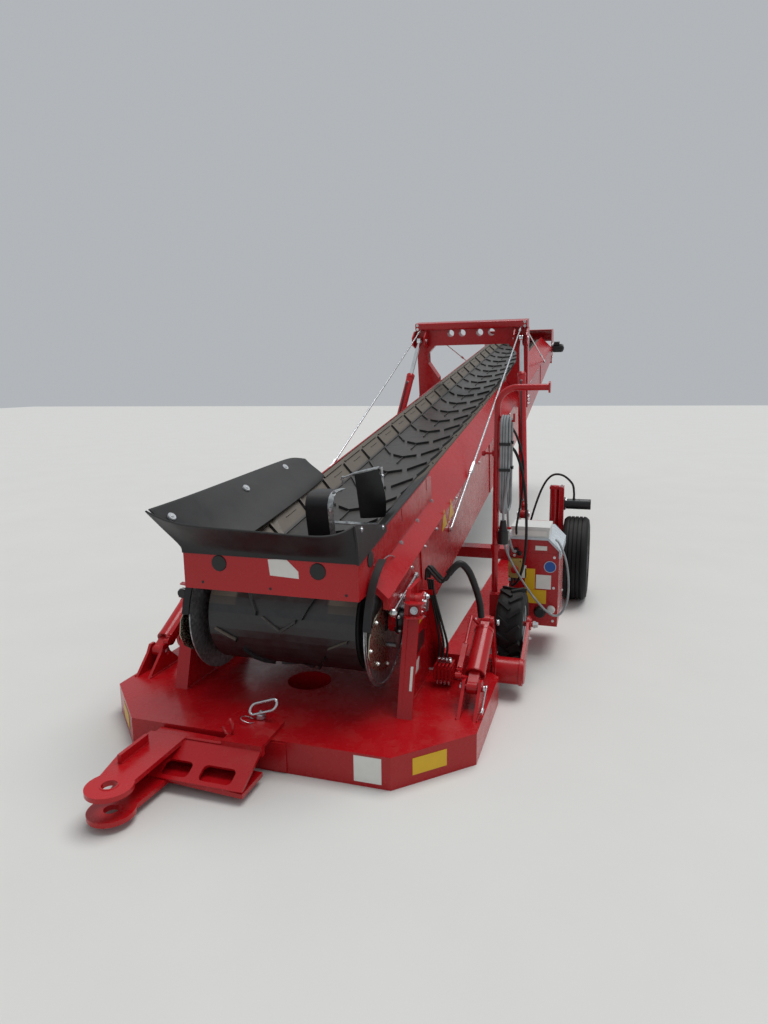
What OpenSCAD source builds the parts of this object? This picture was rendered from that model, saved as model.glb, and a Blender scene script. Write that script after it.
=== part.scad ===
// Mobile store loader: a troughed belt boom that hinges on two posts of a floor plate, with a rubber
// intake hopper at its foot, a lifting mast, swivelling rear wheels and lowering wheel arms.
// Frame: origin on the floor at the middle of the plate's round hole, +Y along the boom to its head,
// +X to the right as seen from the hopper, +Z up. Millimetres.

/* [Base plate] */
// Edge of the plate outside an arm cylinder's middle
plate_rim = 67; // [60:1:75]
// Half the length of the plate
plate_half_l = 604; // [590:1:640]
// Cut of the plate's corners
plate_chamfer = 297; // [280:1:310]
// Height of the plate box
plate_t = 146; // [130:1:150]
// Radius of the round hole in the middle
hole_r = 111; // [80:1:130]

/* [Posts] */
// Gap between the boom's side and a post
post_play = 45; // [40:1:50]
// Thickness of the post's side plate
post_t = 20; // [15:1:25]
// Height of the boom's hinge pins
pivot_z = 600; // [595:1:610]
// Diameter of a hinge pin
pivot_d = 60; // [50:1:70]

/* [Chassis] */
// Gap between a post's flange and a side beam
beam_gap = 25; // [20:1:30]
// Width of a side beam
beam_w = 150; // [130:1:155]
// Top of the side beams
beam_top = 280; // [260:1:290]
// Front end of the side beams
beam_front = 220; // [180:1:260]
// Rear end of the side beams
beam_rear = 3330; // [3300:1:3400]
// Height of the axle beam's box
axle_h = 80; // [70:1:90]
// Depth of the axle beam's box
axle_depth = 140; // [120:1:140]

/* [Rear wheels] */
// Middle of a rear wheel from the swivel axis of its leg
rear_offset = 167; // [165:1:175]
// Place of the rear axle along the machine
rear_y = 2269; // [2200:1:2300]
// Radius of a rear tyre
rear_r = 311; // [300:1:315]
// Width of a rear tyre
rear_w = 190; // [170:1:195]
// Swivel axis of a rear leg from the side beam's outer face
kingpin_out = 235; // [232:1:238]
// Diameter of the swivel pin
kingpin_d = 40; // [30:1:45]

/* [Wheel arms] */
// Place of an arm's hinge along the machine
arm_y = 430; // [428:1:440]
// Height of an arm's hinge
arm_z = 135; // [132:1:140]
// Diameter of the arm's hinge pin
arm_pin_d = 70; // [60:1:76]
// Reach of the lugged wheel behind the arm's hinge
arm_reach = 270; // [265:1:285]
// Height of the lugged wheel above the arm's hinge
arm_rise = 170; // [160:1:180]
// Radius of a lugged tyre over its lugs
lug_r = 200; // [190:1:203]
// Middle of a lugged wheel from its arm's cylinder
lug_offset = 79; // [78:1:81]
// Width of a lugged tyre
lug_w = 152; // [140:1:154]

/* [Boom] */
// Slope of the boom at rest
boom_pitch = 9.71; // [9:0.01:10.5]
// Length from the tail drum to the head drum
boom_l = 8330; // [8200:10:8400]
// Half the width over the boom's side plates
boom_half_w = 500; // [495:1:505]
// Thickness of the boom's side sheets
sheet_t = 8; // [6:1:8]
// Height of the side fold above the tail drum's axis
fold_n = 180; // [170:1:190]
// Depth of the side plates below the tail drum's axis
side_low = 221; // [200:1:230]
// Half the width between the upper edges of the trough
trough_half_w = 345; // [344:1:350]
// Height of the upper edges above the tail drum's axis
trough_n = 338; // [336:1:345]

/* [Belt] */
// Half the width of the belt's flat middle
belt_mid = 220; // [200:1:225]
// Half the width of the belt laid flat
belt_flat = 370; // [360:1:375]
// Radius over the belt on the tail drum
tail_r = 253; // [250:1:256]
// Radius over the belt on the head drum
head_r = 110; // [105:1:120]
// Thickness of the belt
belt_t = 12; // [10:1:12]

// Height of a cleat on the belt
cleat_h = 16; // [12:1:18]

/* [Mast] */
// Top of the mast above the tail drum's axis
mast_n = 936; // [920:1:950]
// Place of the mast's front face along the boom
mast_s = 4487; // [4450:1:4500]
// Depth of the mast box along the boom
mast_depth = 110; // [90:1:120]

/* [Lift cylinders] */
// Outer diameter of a barrel
barrel_d = 76; // [70:1:80]
// Diameter of a rod
rod_d = 42; // [40:1:44]
// Length of a barrel from its lower pin
barrel_l = 1280; // [1250:1:1300]

/* [Hopper] */
// Half the width of the hopper's front plate
hopper_half_w = 424; // [415:1:430]
// Place of the front plate along the machine
hopper_y = -404; // [-410:1:-400]
// Thickness of the rubber sheets
rubber_t = 10; // [8:1:10]

/* [Cabinet] */
// Width of the control cabinet
cabinet_w = 290; // [280:1:295]
// Depth of the control cabinet
cabinet_d = 400; // [350:1:420]
// Height of the control cabinet
cabinet_h = 530; // [500:1:540]

/* [Drawbar] */
// Diameter of the eyes for the towing pin
eye_d = 60; // [50:1:64]
// Thickness of the drawbar's plates
drawbar_t = 20; // [16:1:20]
// Diameter of the drawbar's pin
drawbar_pin_d = 28; // [20:1:30]

/* [Hidden] */
$fn = 64;

red = "#b3161f";
rubber = "#1c1c1e";
zinc = "#b9bcbd";
black = "#151517";
pale = "#c9ccce";
yellowed = "#b59a4a";

// Clearance of a pin in its hole, on the radius, and of a solid that only lies beside another
pin_play = 0.5;
rest_gap = 0.3;

// Faces and axes across the machine, from the boom outwards
post_x = boom_half_w + post_play;
flange_w = 70;
beam_x = post_x + flange_w + beam_gap;
kingpin_x = beam_x + beam_w + kingpin_out;
rear_x = kingpin_x + rear_offset;
arm_cyl_x = beam_x + 210;
plate_half_w = arm_cyl_x + plate_rim;
arm_tube_x = arm_cyl_x + 38;
lug_x = arm_cyl_x + lug_offset;
arm_outer_x = lug_x + lug_w / 2 + 7;

// The tail drum's axis, which is the origin of the boom's own frame
drum_y = -60;
drum_z = 536;
head_n = tail_r - head_r;
return_lean = atan(head_n / boom_l) * 2;

// Places in the boom's frame from places in the machine's frame
function boom_s(y, z) = (y - drum_y) * cos(boom_pitch) + (z - drum_z) * sin(boom_pitch);
function boom_n(y, z) = (z - drum_z) * cos(boom_pitch) - (y - drum_y) * sin(boom_pitch);

pivot_y = 0;
pivot_s = boom_s(pivot_y, pivot_z);
pivot_n = boom_n(pivot_y, pivot_z);

// Lift cylinders: lower pin on the beam and rod eye at the mast
lift_low = [beam_x + 50, 3190, 450];
lift_high = [boom_half_w + 20, 4142, 2030];
lift_vec = lift_high - lift_low;
lift_l = norm(lift_vec);

// Arm cylinders: lower pin on the plate and rod eye on the lever
arm_low = [-60, 240];
arm_high = [300, 440];
arm_cyl_l = norm(arm_high - arm_low);
arm_cyl_lean = atan2(arm_high[1] - arm_low[1], arm_high[0] - arm_low[0]);
arm_barrel_d = 95;
arm_rod_d = 50;

// A solid across the machine, drawn as (y, z) and reaching from x0 to x1
module across(x0, x1) {
    translate([x0, 0, 0]) rotate([90, 0, 90]) linear_extrude(x1 - x0) children();
}

// A solid along the machine or the boom, drawn as (x, z) and reaching from y0 to y1
module along(y0, y1) {
    translate([0, y1, 0]) rotate([90, 0, 0]) linear_extrude(y1 - y0) children();
}

// A round bar across the machine from x0 to x1 at (y, z)
module pin_across(x0, x1, y, z, d) {
    translate([x0, y, z]) rotate([0, 90, 0]) cylinder(h = x1 - x0, d = d);
}

// A round bar from point p to point q
module bar(p, q, d) {
    v = q - p;
    translate(p) rotate([0, acos(v[2] / norm(v)), atan2(v[1], v[0])]) cylinder(h = norm(v), d = d);
}

// Its children on the left or the right side of the machine
module on_side(side) {
    mirror([side == "left" ? 1 : 0, 0, 0]) children();
}

// Its children on both sides
module both_sides() {
    on_side("left") children();
    on_side("right") children();
}

// Its children in the boom's own frame: y along the belt, z square to it, origin on the tail drum's axis
module on_boom() {
    translate([0, drum_y, drum_z]) rotate([boom_pitch, 0, 0]) children();
}

module plate_outline(half_w, half_l, cut) {
    polygon([
        [-half_w + cut, -half_l], [half_w - cut, -half_l], [half_w, -half_l + cut], [half_w, half_l - cut],
        [half_w - cut, half_l], [-half_w + cut, half_l], [-half_w, half_l - cut], [-half_w, -half_l + cut],
    ]);
}

// Lugs on the plate that hold an arm cylinder's lower pin, with the pin
module arm_cylinder_lugs() {
    lug_gap = 60;
    lug_t = 15;
    for (x = [arm_cyl_x - lug_gap / 2 - lug_t, arm_cyl_x + lug_gap / 2])
        across(x, x + lug_t)
            polygon([
                [-210, plate_t - 1], [70, plate_t - 1], [arm_low[0] + 38, arm_low[1] - 10],
                [arm_low[0] + 15, arm_low[1] + 38], [arm_low[0] - 20, arm_low[1] + 38],
                [arm_low[0] - 45, arm_low[1]],
            ]);
    pin_across(arm_cyl_x - lug_gap / 2 - lug_t - 8, arm_cyl_x + lug_gap / 2 + lug_t + 8,
        arm_low[0], arm_low[1], 30);
}

// Fixed hinge pin of a wheel arm, with the block that carries it on the plate's corner
module arm_bearing() {
    block = [70, 110, 138];
    translate([arm_tube_x - 93, 360, 62]) cube(block);
    pin_across(arm_tube_x - 88, arm_outer_x - 4, arm_y, arm_z, arm_pin_d);
}

module base_plate() color(red) {
    difference() {
        union() {
            linear_extrude(plate_t) plate_outline(plate_half_w, plate_half_l, plate_chamfer);
            both_sides() arm_cylinder_lugs();
            both_sides() arm_bearing();
            // Stop plate for the drawbar on the front face
            translate([30, -plate_half_l - 6, 10]) cube([100, 7, plate_t - 20]);
        }
        translate([0, 0, -1]) cylinder(h = plate_t + 2, r = hole_r);
        translate([drawbar_pin_at[0], drawbar_pin_at[1], plate_t - 60])
            cylinder(h = 61, d = drawbar_pin_d + 2 * pin_play);
    }
}

// Posts: a side plate with a front and a rear flange, bored for the hinge pin
post_foot = [-270, 420];
post_head = [-115, 125];
post_top_z = 700;
flange_t = 12;
module post() {
    difference() {
        union() {
            across(post_x, post_x + post_t)
                polygon([
                    [post_foot[0], plate_t], [post_foot[1], plate_t], [post_head[1], post_top_z - 30],
                    [post_head[1] - 30, post_top_z], [post_head[0] + 30, post_top_z],
                    [post_head[0], post_top_z - 30],
                ]);
            across(post_x, post_x + flange_w)
                polygon([
                    [post_foot[0], plate_t], [post_foot[0] + flange_t, plate_t],
                    [post_head[0] + flange_t, post_top_z - 60], [post_head[0], post_top_z - 60],
                ]);
            across(post_x, post_x + flange_w)
                polygon([
                    [post_foot[1] - flange_t, plate_t], [post_foot[1], plate_t],
                    [post_head[1], post_top_z - 60], [post_head[1] - flange_t, post_top_z - 60],
                ]);
            pin_across(post_x, post_x + 55, pivot_y, pivot_z, pivot_d + 50);
        }
        pin_across(post_x - 1, post_x + 60, pivot_y, pivot_z, pivot_d + 2 * pin_play);
    }
}
module pivot_posts() color(red) both_sides() post();

module pivot_pins() color(zinc)
    both_sides() {
        pin_across(boom_half_w, post_x + 75, pivot_y, pivot_z, pivot_d);
        pin_across(boom_half_w, post_x - 5, pivot_y, pivot_z, pivot_d + 45);
    }

// Side beams with the lugs and pins of the lift cylinders on top
module lift_lugs() {
    lug_gap = 56;
    lug_t = 15;
    for (x = [lift_low[0] - lug_gap / 2 - lug_t, lift_low[0] + lug_gap / 2])
        across(x, x + lug_t)
            polygon([
                [lift_low[1] - 120, beam_top - 1], [lift_low[1] + 120, beam_top - 1],
                [lift_low[1] + 40, lift_low[2] + 20], [lift_low[1] + 20, lift_low[2] + 38],
                [lift_low[1] - 20, lift_low[2] + 38], [lift_low[1] - 40, lift_low[2] + 20],
            ]);
    pin_across(lift_low[0] - lug_gap / 2 - lug_t - 5, lift_low[0] + lug_gap / 2 + lug_t + 5,
        lift_low[1], lift_low[2], 40);
}
module side_beams() color(red)
    both_sides() {
        translate([beam_x, beam_front, plate_t]) cube([beam_w, beam_rear - beam_front, beam_top - plate_t]);
        lift_lugs();
    }

// Axle beam on the side beams, with an outrigger and a swivel housing at each end
housing_d = 70;
housing_z = [400, 830];
module rear_axle_frame() color(red)
    difference() {
        union() {
            translate([-beam_x - beam_w, rear_y - axle_depth / 2, beam_top])
                cube([2 * (beam_x + beam_w), axle_depth, axle_h]);
            both_sides() {
                translate([beam_x + beam_w - 1, rear_y - axle_depth / 2, beam_top])
                    cube([110, axle_depth, 290]);
                translate([beam_x + beam_w + 90, rear_y - axle_depth / 2, housing_z[0]])
                    cube([kingpin_x - 45 - beam_x - beam_w - 90, axle_depth, 170]);
                translate([kingpin_x - 60, rear_y - 20, housing_z[0]]) cube([40, 40, 170]);
                translate([kingpin_x, rear_y, housing_z[0]])
                    cylinder(h = housing_z[1] - housing_z[0], d = housing_d);
            }
        }
        both_sides()
            translate([kingpin_x, rear_y, housing_z[0] - 1])
                cylinder(h = housing_z[1] - housing_z[0] + 2, d = kingpin_d + 2 * pin_play);
    }

// Control cabinet beside the right beam, with a sloped cover over its top and right shoulder
cabinet_x = beam_x + beam_w + 70;
cabinet_y = 1050;
cabinet_z = 180;
cabinet_cut = 65;
cover_t = 12;
module cabinet_outline(grow) {
    polygon([
        [cabinet_x - grow, cabinet_z], [cabinet_x + cabinet_w + grow, cabinet_z],
        [cabinet_x + cabinet_w + grow, cabinet_z + cabinet_h - cabinet_cut + grow / 2],
        [cabinet_x + cabinet_w - cabinet_cut + grow / 2, cabinet_z + cabinet_h + grow],
        [cabinet_x - grow, cabinet_z + cabinet_h + grow],
    ]);
}
module control_cabinet() color(red) {
    along(cabinet_y, cabinet_y + cabinet_d) cabinet_outline(0);
    // Brackets from the side beam
    for (y = [cabinet_y + 60, cabinet_y + cabinet_d - 100])
        translate([beam_x + beam_w + rest_gap, y, 190])
            cube([cabinet_x - beam_x - beam_w - rest_gap + 1, 40, 80]);
}
module cabinet_cover() color(pale)
    difference() {
        along(cabinet_y - 20, cabinet_y + cabinet_d + 20) cabinet_outline(cover_t);
        along(cabinet_y - 21, cabinet_y + cabinet_d + 21) cabinet_outline(rest_gap);
        translate([cabinet_x - 50, cabinet_y - 30, 0])
            cube([cabinet_w + 100, cabinet_d + 60, cabinet_z + cabinet_h - cabinet_cut - 40]);
    }

// Cable arm: a tube that rises beside the right beam and turns outwards
cable_arm_at = [beam_x + beam_w + 22, 800];
cable_arm_d = 35;
cable_arm_bend = 110;
cable_arm_top = 1600;
hook_d = 12;
hook_z = 1420;
hook_tip = cable_arm_at[0] + 92;
module cable_arm() color(red) {
    translate([cable_arm_at[0], cable_arm_at[1], 440])
        cylinder(h = cable_arm_top - cable_arm_bend - 440, d = cable_arm_d);
    translate([cable_arm_at[0] + cable_arm_bend, cable_arm_at[1], cable_arm_top - cable_arm_bend])
        rotate([90, 0, 180]) rotate_extrude(angle = 90)
            translate([cable_arm_bend, 0]) circle(d = cable_arm_d);
    arm_end = cable_arm_at[0] + cable_arm_bend + 163;
    pin_across(cable_arm_at[0] + cable_arm_bend, arm_end, cable_arm_at[1], cable_arm_top, cable_arm_d);
    pin_across(arm_end - 1, arm_end + 8, cable_arm_at[1], cable_arm_top, 62);
    // Foot bracket on the beam's outer face
    translate([beam_x + beam_w + rest_gap, cable_arm_at[1] - 40, plate_t + 4]) cube([50, 80, 440 - plate_t - 3]);
    // Hook for the supply cable
    pin_across(cable_arm_at[0], hook_tip, cable_arm_at[1], hook_z, hook_d);
    translate([hook_tip, cable_arm_at[1], hook_z - hook_d / 2]) cylinder(h = 46, d = hook_d);
    // Cross rod that carries the junction box
    pin_across(cable_arm_at[0], cable_arm_at[0] + 88, cable_arm_at[1] + 10, 820, 14);
}

// Supply cable: from a gland on the cabinet's front up to a hank on the hook, with its plug hanging free
cable_d = 14;
hank_x = cable_arm_at[0] + 54;
hank_thick = 56;
hank_bundle = 35;
hank_w = 140;
hank_l = 560;
hank_top = hook_z + hook_d / 2 + rest_gap + hank_bundle;
hank_side = hank_w / 2 + cable_d / 2 + rest_gap;
plug_z = [750, 880];
limb_z = 1010;
gland_at = [hank_x + 34, cabinet_y - rest_gap, 640];
module round_ended(w, l) {
    for (end = [-1, 1]) translate([0, end * (l - w) / 2]) circle(d = w);
    square([w, l - w], center = true);
}
module supply_cable_hank() color(zinc)
    across(hank_x - hank_thick / 2, hank_x + hank_thick / 2)
        translate([cable_arm_at[1], hank_top - hank_l / 2])
            difference() {
                round_ended(hank_w, hank_l);
                round_ended(hank_w - 2 * hank_bundle, hank_l - 2 * hank_bundle);
            }
// The cable's rise from the gland to the hank, as a curve with four control points
rise_from = gland_at - [0, 34, 0];
rise_to = [hank_x, cable_arm_at[1] + hank_side, limb_z];
rise = [rise_from, rise_from - [0, 90, 0], [rise_to[0], rise_to[1], 700], rise_to];
rise_steps = 14;
function rise_at(t) =
    rise[0] * pow(1 - t, 3) + rise[1] * 3 * t * pow(1 - t, 2) + rise[2] * 3 * t * t * (1 - t) + rise[3] * pow(t, 3);
function rise_ring(t) =
    let (
        way = rise_at(t + 0.01) - rise_at(t - 0.01), along = way / norm(way), side = cross(along, [1, 0, 0]),
        u = side / norm(side), v = cross(along, u)
    )
    [for (a = [0 : 45 : 315]) rise_at(t) + cable_d / 2 * (cos(a) * u - sin(a) * v)];
module supply_cable() color(zinc) {
    polyhedron([for (i = [0 : rise_steps]) each rise_ring(i / rise_steps)], ring_faces(rise_steps + 1, 8, false));
    // Free end down to the plug
    translate([hank_x, cable_arm_at[1] - hank_side, plug_z[1] + rest_gap])
        cylinder(h = limb_z - plug_z[1], d = cable_d);
}
module supply_fittings() color(black) {
    translate(gland_at) rotate([90, 0, 0]) cylinder(h = 14, d = 34, $fn = 6);
    translate(gland_at) rotate([90, 0, 0]) cylinder(h = 33.7, d = 26);
    translate([hank_x, cable_arm_at[1] - hank_side, 0]) {
        translate([0, 0, plug_z[0]]) cylinder(h = 70, d = 62);
        translate([0, 0, plug_z[0] + 69]) cylinder(h = plug_z[1] - plug_z[0] - 69, d1 = 50, d2 = 30);
    }
}

module junction_box() color(pale)
    translate([cable_arm_at[0] + 23, cable_arm_at[1] - 20, 745]) cube([50, 60, 820 - 7 - rest_gap - 745]);

module stop_switch() {
    color(yellowed) translate([cabinet_x + 2, cabinet_y - 50 - rest_gap, 480]) cube([75, 50, 110]);
    color(red) translate([cabinet_x + 40, cabinet_y - 50 - rest_gap, 535]) rotate([90, 0, 0]) cylinder(h = 28, r1 = 14, r2 = 22);
}

// Drawbar: an ear on the plate, a sloped web with two windows, and a forked eye
drawbar_pin_at = [-30, -470];
fork_at = [-345, -1100];
fork_r = 92;
fork_z = [30, 130];
root_y = -700;
module fork_plate(z, outline) {
    translate([0, 0, z])
        difference() {
            union() {
                linear_extrude(drawbar_t) polygon(outline);
                translate([fork_at[0], fork_at[1], 0]) cylinder(h = drawbar_t, r = fork_r);
            }
            translate([fork_at[0], fork_at[1], -1]) cylinder(h = drawbar_t + 2, d = eye_d);
        }
}
function corner(x, y, r, start) = [for (a = [start : 15 : start + 90]) [x + r * cos(a), y + r * sin(a)]];
module web_window(x0, x1) {
    r = 22;
    y = [18, 92];
    translate([0, 0, -1])
        linear_extrude(40)
            polygon([
                each corner(x1 - r, y[1] - r, r, 0), each corner(x0 + r, y[1] - r, r, 90),
                each corner(x0 + r, y[0] + r, r, 180), each corner(x1 - r, y[0] + r, r, 270),
            ]);
}
module drawbar() color(red) {
    web_lean = atan2(90, 185);
    difference() {
        union() {
            fork_plate(fork_z[1], [[-455, -690], [-275, -690], [-275, -1100], [-415, -1100], [-462, -900]]);
            fork_plate(fork_z[0], [
                [90, -872], [90, root_y], [-455, root_y], [-462, -900], [-415, -1100], [-275, -1100],
                [-262, -850],
            ]);
            // Sloped web with a lip at its top
            translate([-452, -865, fork_z[0] + drawbar_t - 4]) rotate([web_lean, 0, 0])
                difference() {
                    cube([538, 206, 14]);
                    web_window(147, 277);
                    web_window(327, 477);
                }
            translate([0, 0, fork_z[1] - 14]) linear_extrude(15)
                polygon([[-455, root_y], [90, root_y], [90, -672], [-30, -628], [-455, -613]]);
            // Upright spacer between the fork plates
            translate([-380, -960, fork_z[0] + 1]) cube([18, 270, fork_z[1] - fork_z[0]]);
            // Grip bar on the upper plate
            translate([-415, -960, fork_z[1] + drawbar_t - 1]) cube([16, 180, 40]);
            // Ear over the plate with its riser
            translate([-100, root_y, fork_z[1] - 2]) cube([190, 27, 148 + 16 - fork_z[1] + 2]);
            translate([0, 0, plate_t + rest_gap])
                linear_extrude(16)
                    polygon([[-100, root_y], [90, root_y], [85, -470], [30, -410], [-90, -410], [-100, -470]]);
        }
        translate([drawbar_pin_at[0], drawbar_pin_at[1], plate_t - 2])
            cylinder(h = 30, d = drawbar_pin_d + 2 * pin_play);
    }
}
module drawbar_pin() color(zinc) {
    translate([drawbar_pin_at[0], drawbar_pin_at[1], plate_t - 58]) cylinder(h = 90, d = drawbar_pin_d);
    translate([drawbar_pin_at[0], drawbar_pin_at[1], plate_t + 20]) cylinder(h = 8, d = 46);
}

// Side sheets of the boom: upright lower plates and sheets that lean in to the trough's edge
front_s = -130;
taper_s = 4700;
head_s = boom_l + 60;
hood_s = [head_s - 250, head_s + 90];
side_top = fold_n - 2 - rest_gap;
module boom_side() {
    across(boom_half_w - sheet_t, boom_half_w)
        polygon([
            [front_s, side_top], [front_s, 120], [-30, -60], [150, -60], [420, -side_low], [taper_s, -side_low],
            [head_s, 20], [head_s, side_top],
        ]);
    along(front_s, hood_s[0] - rest_gap)
        polygon([
            [boom_half_w - sheet_t, fold_n - 2], [boom_half_w, fold_n], [trough_half_w, trough_n],
            [trough_half_w - 5, trough_n - 5],
        ]);
}
module boom_sides() color(red)
    on_boom()
        difference() {
            union() {
                both_sides() boom_side();
                // Bosses of the stay rods
                both_sides()
                    for (foot = [stay_front, stay_rear])
                        pin_across(boom_half_w - 1, stay_w[0] - rest_gap, foot[0], foot[1], stay_eye + 6);
                // Round seats of the drum shafts
                pin_across(-boom_half_w + sheet_t - 1, -boom_half_w + 40, 0, 0, 110);
                pin_across(boom_half_w - 40, boom_half_w - sheet_t + 1, 0, 0, 110);
            }
            pin_across(-boom_half_w - 1, boom_half_w + 1, 0, 0, shaft_d + 2 * pin_play);
        }

// Belt: underside of its wing, from the foot at the flat middle to the tip at the trough's edge
wing_edge = [330, 334];
wing_foot = [belt_mid + 6, tail_r - belt_t];
wing_tip = [wing_edge[0] + 7, wing_edge[1] - 10];
wing_dir = (wing_tip - wing_foot) / norm(wing_tip - wing_foot);
wing_out = [wing_dir[1], -wing_dir[0]];
trough_s = [450, boom_l - 430];

// Bed of the trough, on saddles that stand on cross tubes between the side sheets
bed_play = 1;
bed_t = 4;
bed_n = tail_r - belt_t - bed_play - bed_t;
bed_end = 520;
bed_lip = 12;
cross_pitch = 1150;
cross_w = 60;
cross_n = [112, 172];
saddle_x = 150;
module trough_bed() color(red)
    on_boom() {
        translate([-wing_foot[0], bed_end, bed_n])
            cube([2 * wing_foot[0], boom_l - 2 * bed_end, bed_t]);
        both_sides()
            along(bed_end, boom_l - bed_end)
                polygon([
                    wing_foot + wing_out * bed_play, wing_foot + wing_out * (bed_play + bed_t),
                    wing_tip + wing_out * (bed_play + bed_t) - wing_dir * bed_lip,
                    wing_tip + wing_out * bed_play - wing_dir * bed_lip,
                ]);
        for (s = [600 : cross_pitch : boom_l - 600]) {
            translate([-boom_half_w + sheet_t + rest_gap, s, cross_n[0]])
                cube([2 * (boom_half_w - sheet_t - rest_gap), cross_w, cross_n[1] - cross_n[0]]);
            both_sides()
                translate([saddle_x, s + 10, cross_n[1] - 1])
                    cube([12, cross_w - 20, bed_n - rest_gap - cross_n[1] + 1]);
        }
    }

// The belt's loop as a run along its outer face: top strand, head drum, return strand, tail drum
arc_head = head_r * (180 - return_lean) * PI / 180;
arc_tail = tail_r * (180 + return_lean) * PI / 180;
run_return = boom_l + arc_head;
run_tail = run_return + boom_l;
run_end = run_tail + arc_tail;
// Direction in which the belt faces at a run
function belt_turn(run) =
    run < boom_l ? 90
    : run < run_return ? 90 - (run - boom_l) / head_r * 180 / PI
    : run < run_tail ? return_lean - 90
    : return_lean - 90 - (run - run_tail) / tail_r * 180 / PI;
// Place of the belt's outer face in the boom's frame at a run
function belt_face(run) =
    let (a = belt_turn(run), out = [cos(a), sin(a)])
    run < boom_l ? [run, tail_r]
    : run < run_return ? [boom_l, head_n] + head_r * out
    : run < run_tail ? [boom_l, head_n] + head_r * out + (run - run_return) * [out[1], -out[0]]
    : tail_r * out;
// How far the belt's wings are raised at a run, from 0 on the drums to 1 in the trough
function belt_raise(run) =
    run > boom_l ? 0 : max(0, min(1, run / trough_s[0], (boom_l - run) / (boom_l - trough_s[1])));
wing_rise = wing_edge[1] - tail_r;
wing_angle = atan2(wing_rise, wing_edge[0] - belt_mid);
// A point of the belt: run, distance x from its middle when laid flat, height h over its outer face
function belt_point(run, x, h) =
    let (
        raise = belt_raise(run), share = max(0, x - belt_mid) / (belt_flat - belt_mid),
        lean = share > 0 ? raise * wing_angle : 0, a = belt_turn(run),
        reach = (belt_flat - belt_mid) * (1 - raise) + (wing_edge[0] - belt_mid) * raise,
        lift = share * raise * wing_rise + h * cos(lean),
        place = belt_face(run) + lift * [cos(a), sin(a)]
    )
    [min(x, belt_mid) + share * reach - h * sin(lean), place[0], place[1]];
// Runs at which the belt's section is drawn
loop_steps = 14;
raise_steps = 4;
belt_runs = [
    for (i = [0 : raise_steps]) max(i * trough_s[0] / raise_steps, 1),
    for (i = [0 : raise_steps]) min(trough_s[1] + i * (boom_l - trough_s[1]) / raise_steps, boom_l - 1),
    for (i = [0 : loop_steps]) boom_l + i * arc_head / loop_steps + 0.01,
    for (i = [0 : loop_steps * 1.5]) run_tail + i * arc_tail / (loop_steps * 1.5),
];
function belt_ring(run) =
    let (half = [[belt_flat, -belt_t], [belt_mid, -belt_t], [belt_mid, 0], [belt_flat, 0]])
    [
        for (k = [0, 1]) mirrored(belt_point(run, half[k][0], half[k][1])),
        for (k = [1, 0]) belt_point(run, half[k][0], half[k][1]),
        for (k = [3, 2]) belt_point(run, half[k][0], half[k][1]),
        for (k = [2, 3]) mirrored(belt_point(run, half[k][0], half[k][1])),
    ];
function mirrored(point) = [-point[0], point[1], point[2]];
// Faces between rings of n points, closed into a loop or with an end face at each end
function ring_faces(rings, n, looped) = [
    for (i = [0 : rings - (looped ? 1 : 2)]) for (k = [0 : n - 1])
        let (a = i * n + k, b = i * n + (k + 1) % n, c = (b + n) % (rings * n), d = (a + n) % (rings * n))
        each [[a, b, c], [a, c, d]],
    if (!looped) [for (k = [n - 1 : -1 : 0]) k],
    if (!looped) [for (k = [0 : n - 1]) (rings - 1) * n + k],
];
module belt_band()
    polyhedron([for (run = belt_runs) each belt_ring(run)], ring_faces(len(belt_runs), 8, true));

// Cleats: bars on the belt's outer face, each a row of [run, x] stations with a half width along the run
cleat_pitch = run_end / round(run_end / 371);
cleat_sink = belt_t / 2;
middle_bar = [[55, -85], [0, 0], [55, 85]];
side_bar = [[75, 116], [245, 208]];
wing_bar = [[300, 232], [352, 334]];
// A bar's stations, with more of them where the belt bends round a drum
function bar_stations(bar, start) =
    let (bend = start > boom_l - 300 && start < run_return || start > run_tail - 300, n = bend ? 3 : 1)
    [for (i = [0 : len(bar) - 2]) for (k = [0 : n - 1]) bar[i] + (bar[i + 1] - bar[i]) * k / n, bar[len(bar) - 1]];
function along_belt(run, x, h) =
    x < 0 ? mirrored(belt_point(run, -x, h)) : belt_point(run, x, h);
module cleat(bar, start, half_w) {
    stations = bar_stations(bar, start);
    sections = [[-0.6, cleat_h], [0.6, cleat_h], [1, -cleat_sink], [-1, -cleat_sink]];
    polyhedron(
        [
            for (station = stations) for (corner = sections)
                along_belt((start + station[0] + corner[0] * half_w) % run_end, station[1], corner[1])
        ],
        ring_faces(len(stations), 4, false)
    );
}
module conveyor_belt() color(rubber)
    on_boom() {
        belt_band();
        for (i = [0 : run_end / cleat_pitch - 1]) {
            cleat(middle_bar, i * cleat_pitch, 10);
            both_sides() {
                cleat(side_bar, i * cleat_pitch, 14);
                cleat(wing_bar, i * cleat_pitch, 10);
            }
        }
    }

shaft_d = 50;
drum_play = 1;
module tail_drum() color(black)
    on_boom() {
        pin_across(-belt_flat - 10, belt_flat + 10, 0, 0, 2 * (tail_r - belt_t - drum_play));
        pin_across(-boom_half_w - 12, boom_half_w + 12, 0, 0, shaft_d);
    }

module head_drum() color(black)
    on_boom() {
        pin_across(-belt_flat - 10, belt_flat + 10, boom_l, head_n, 2 * (head_r - belt_t - drum_play));
        pin_across(-boom_half_w + sheet_t + rest_gap, boom_half_w - sheet_t - rest_gap, boom_l, head_n, 40);
    }

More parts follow.
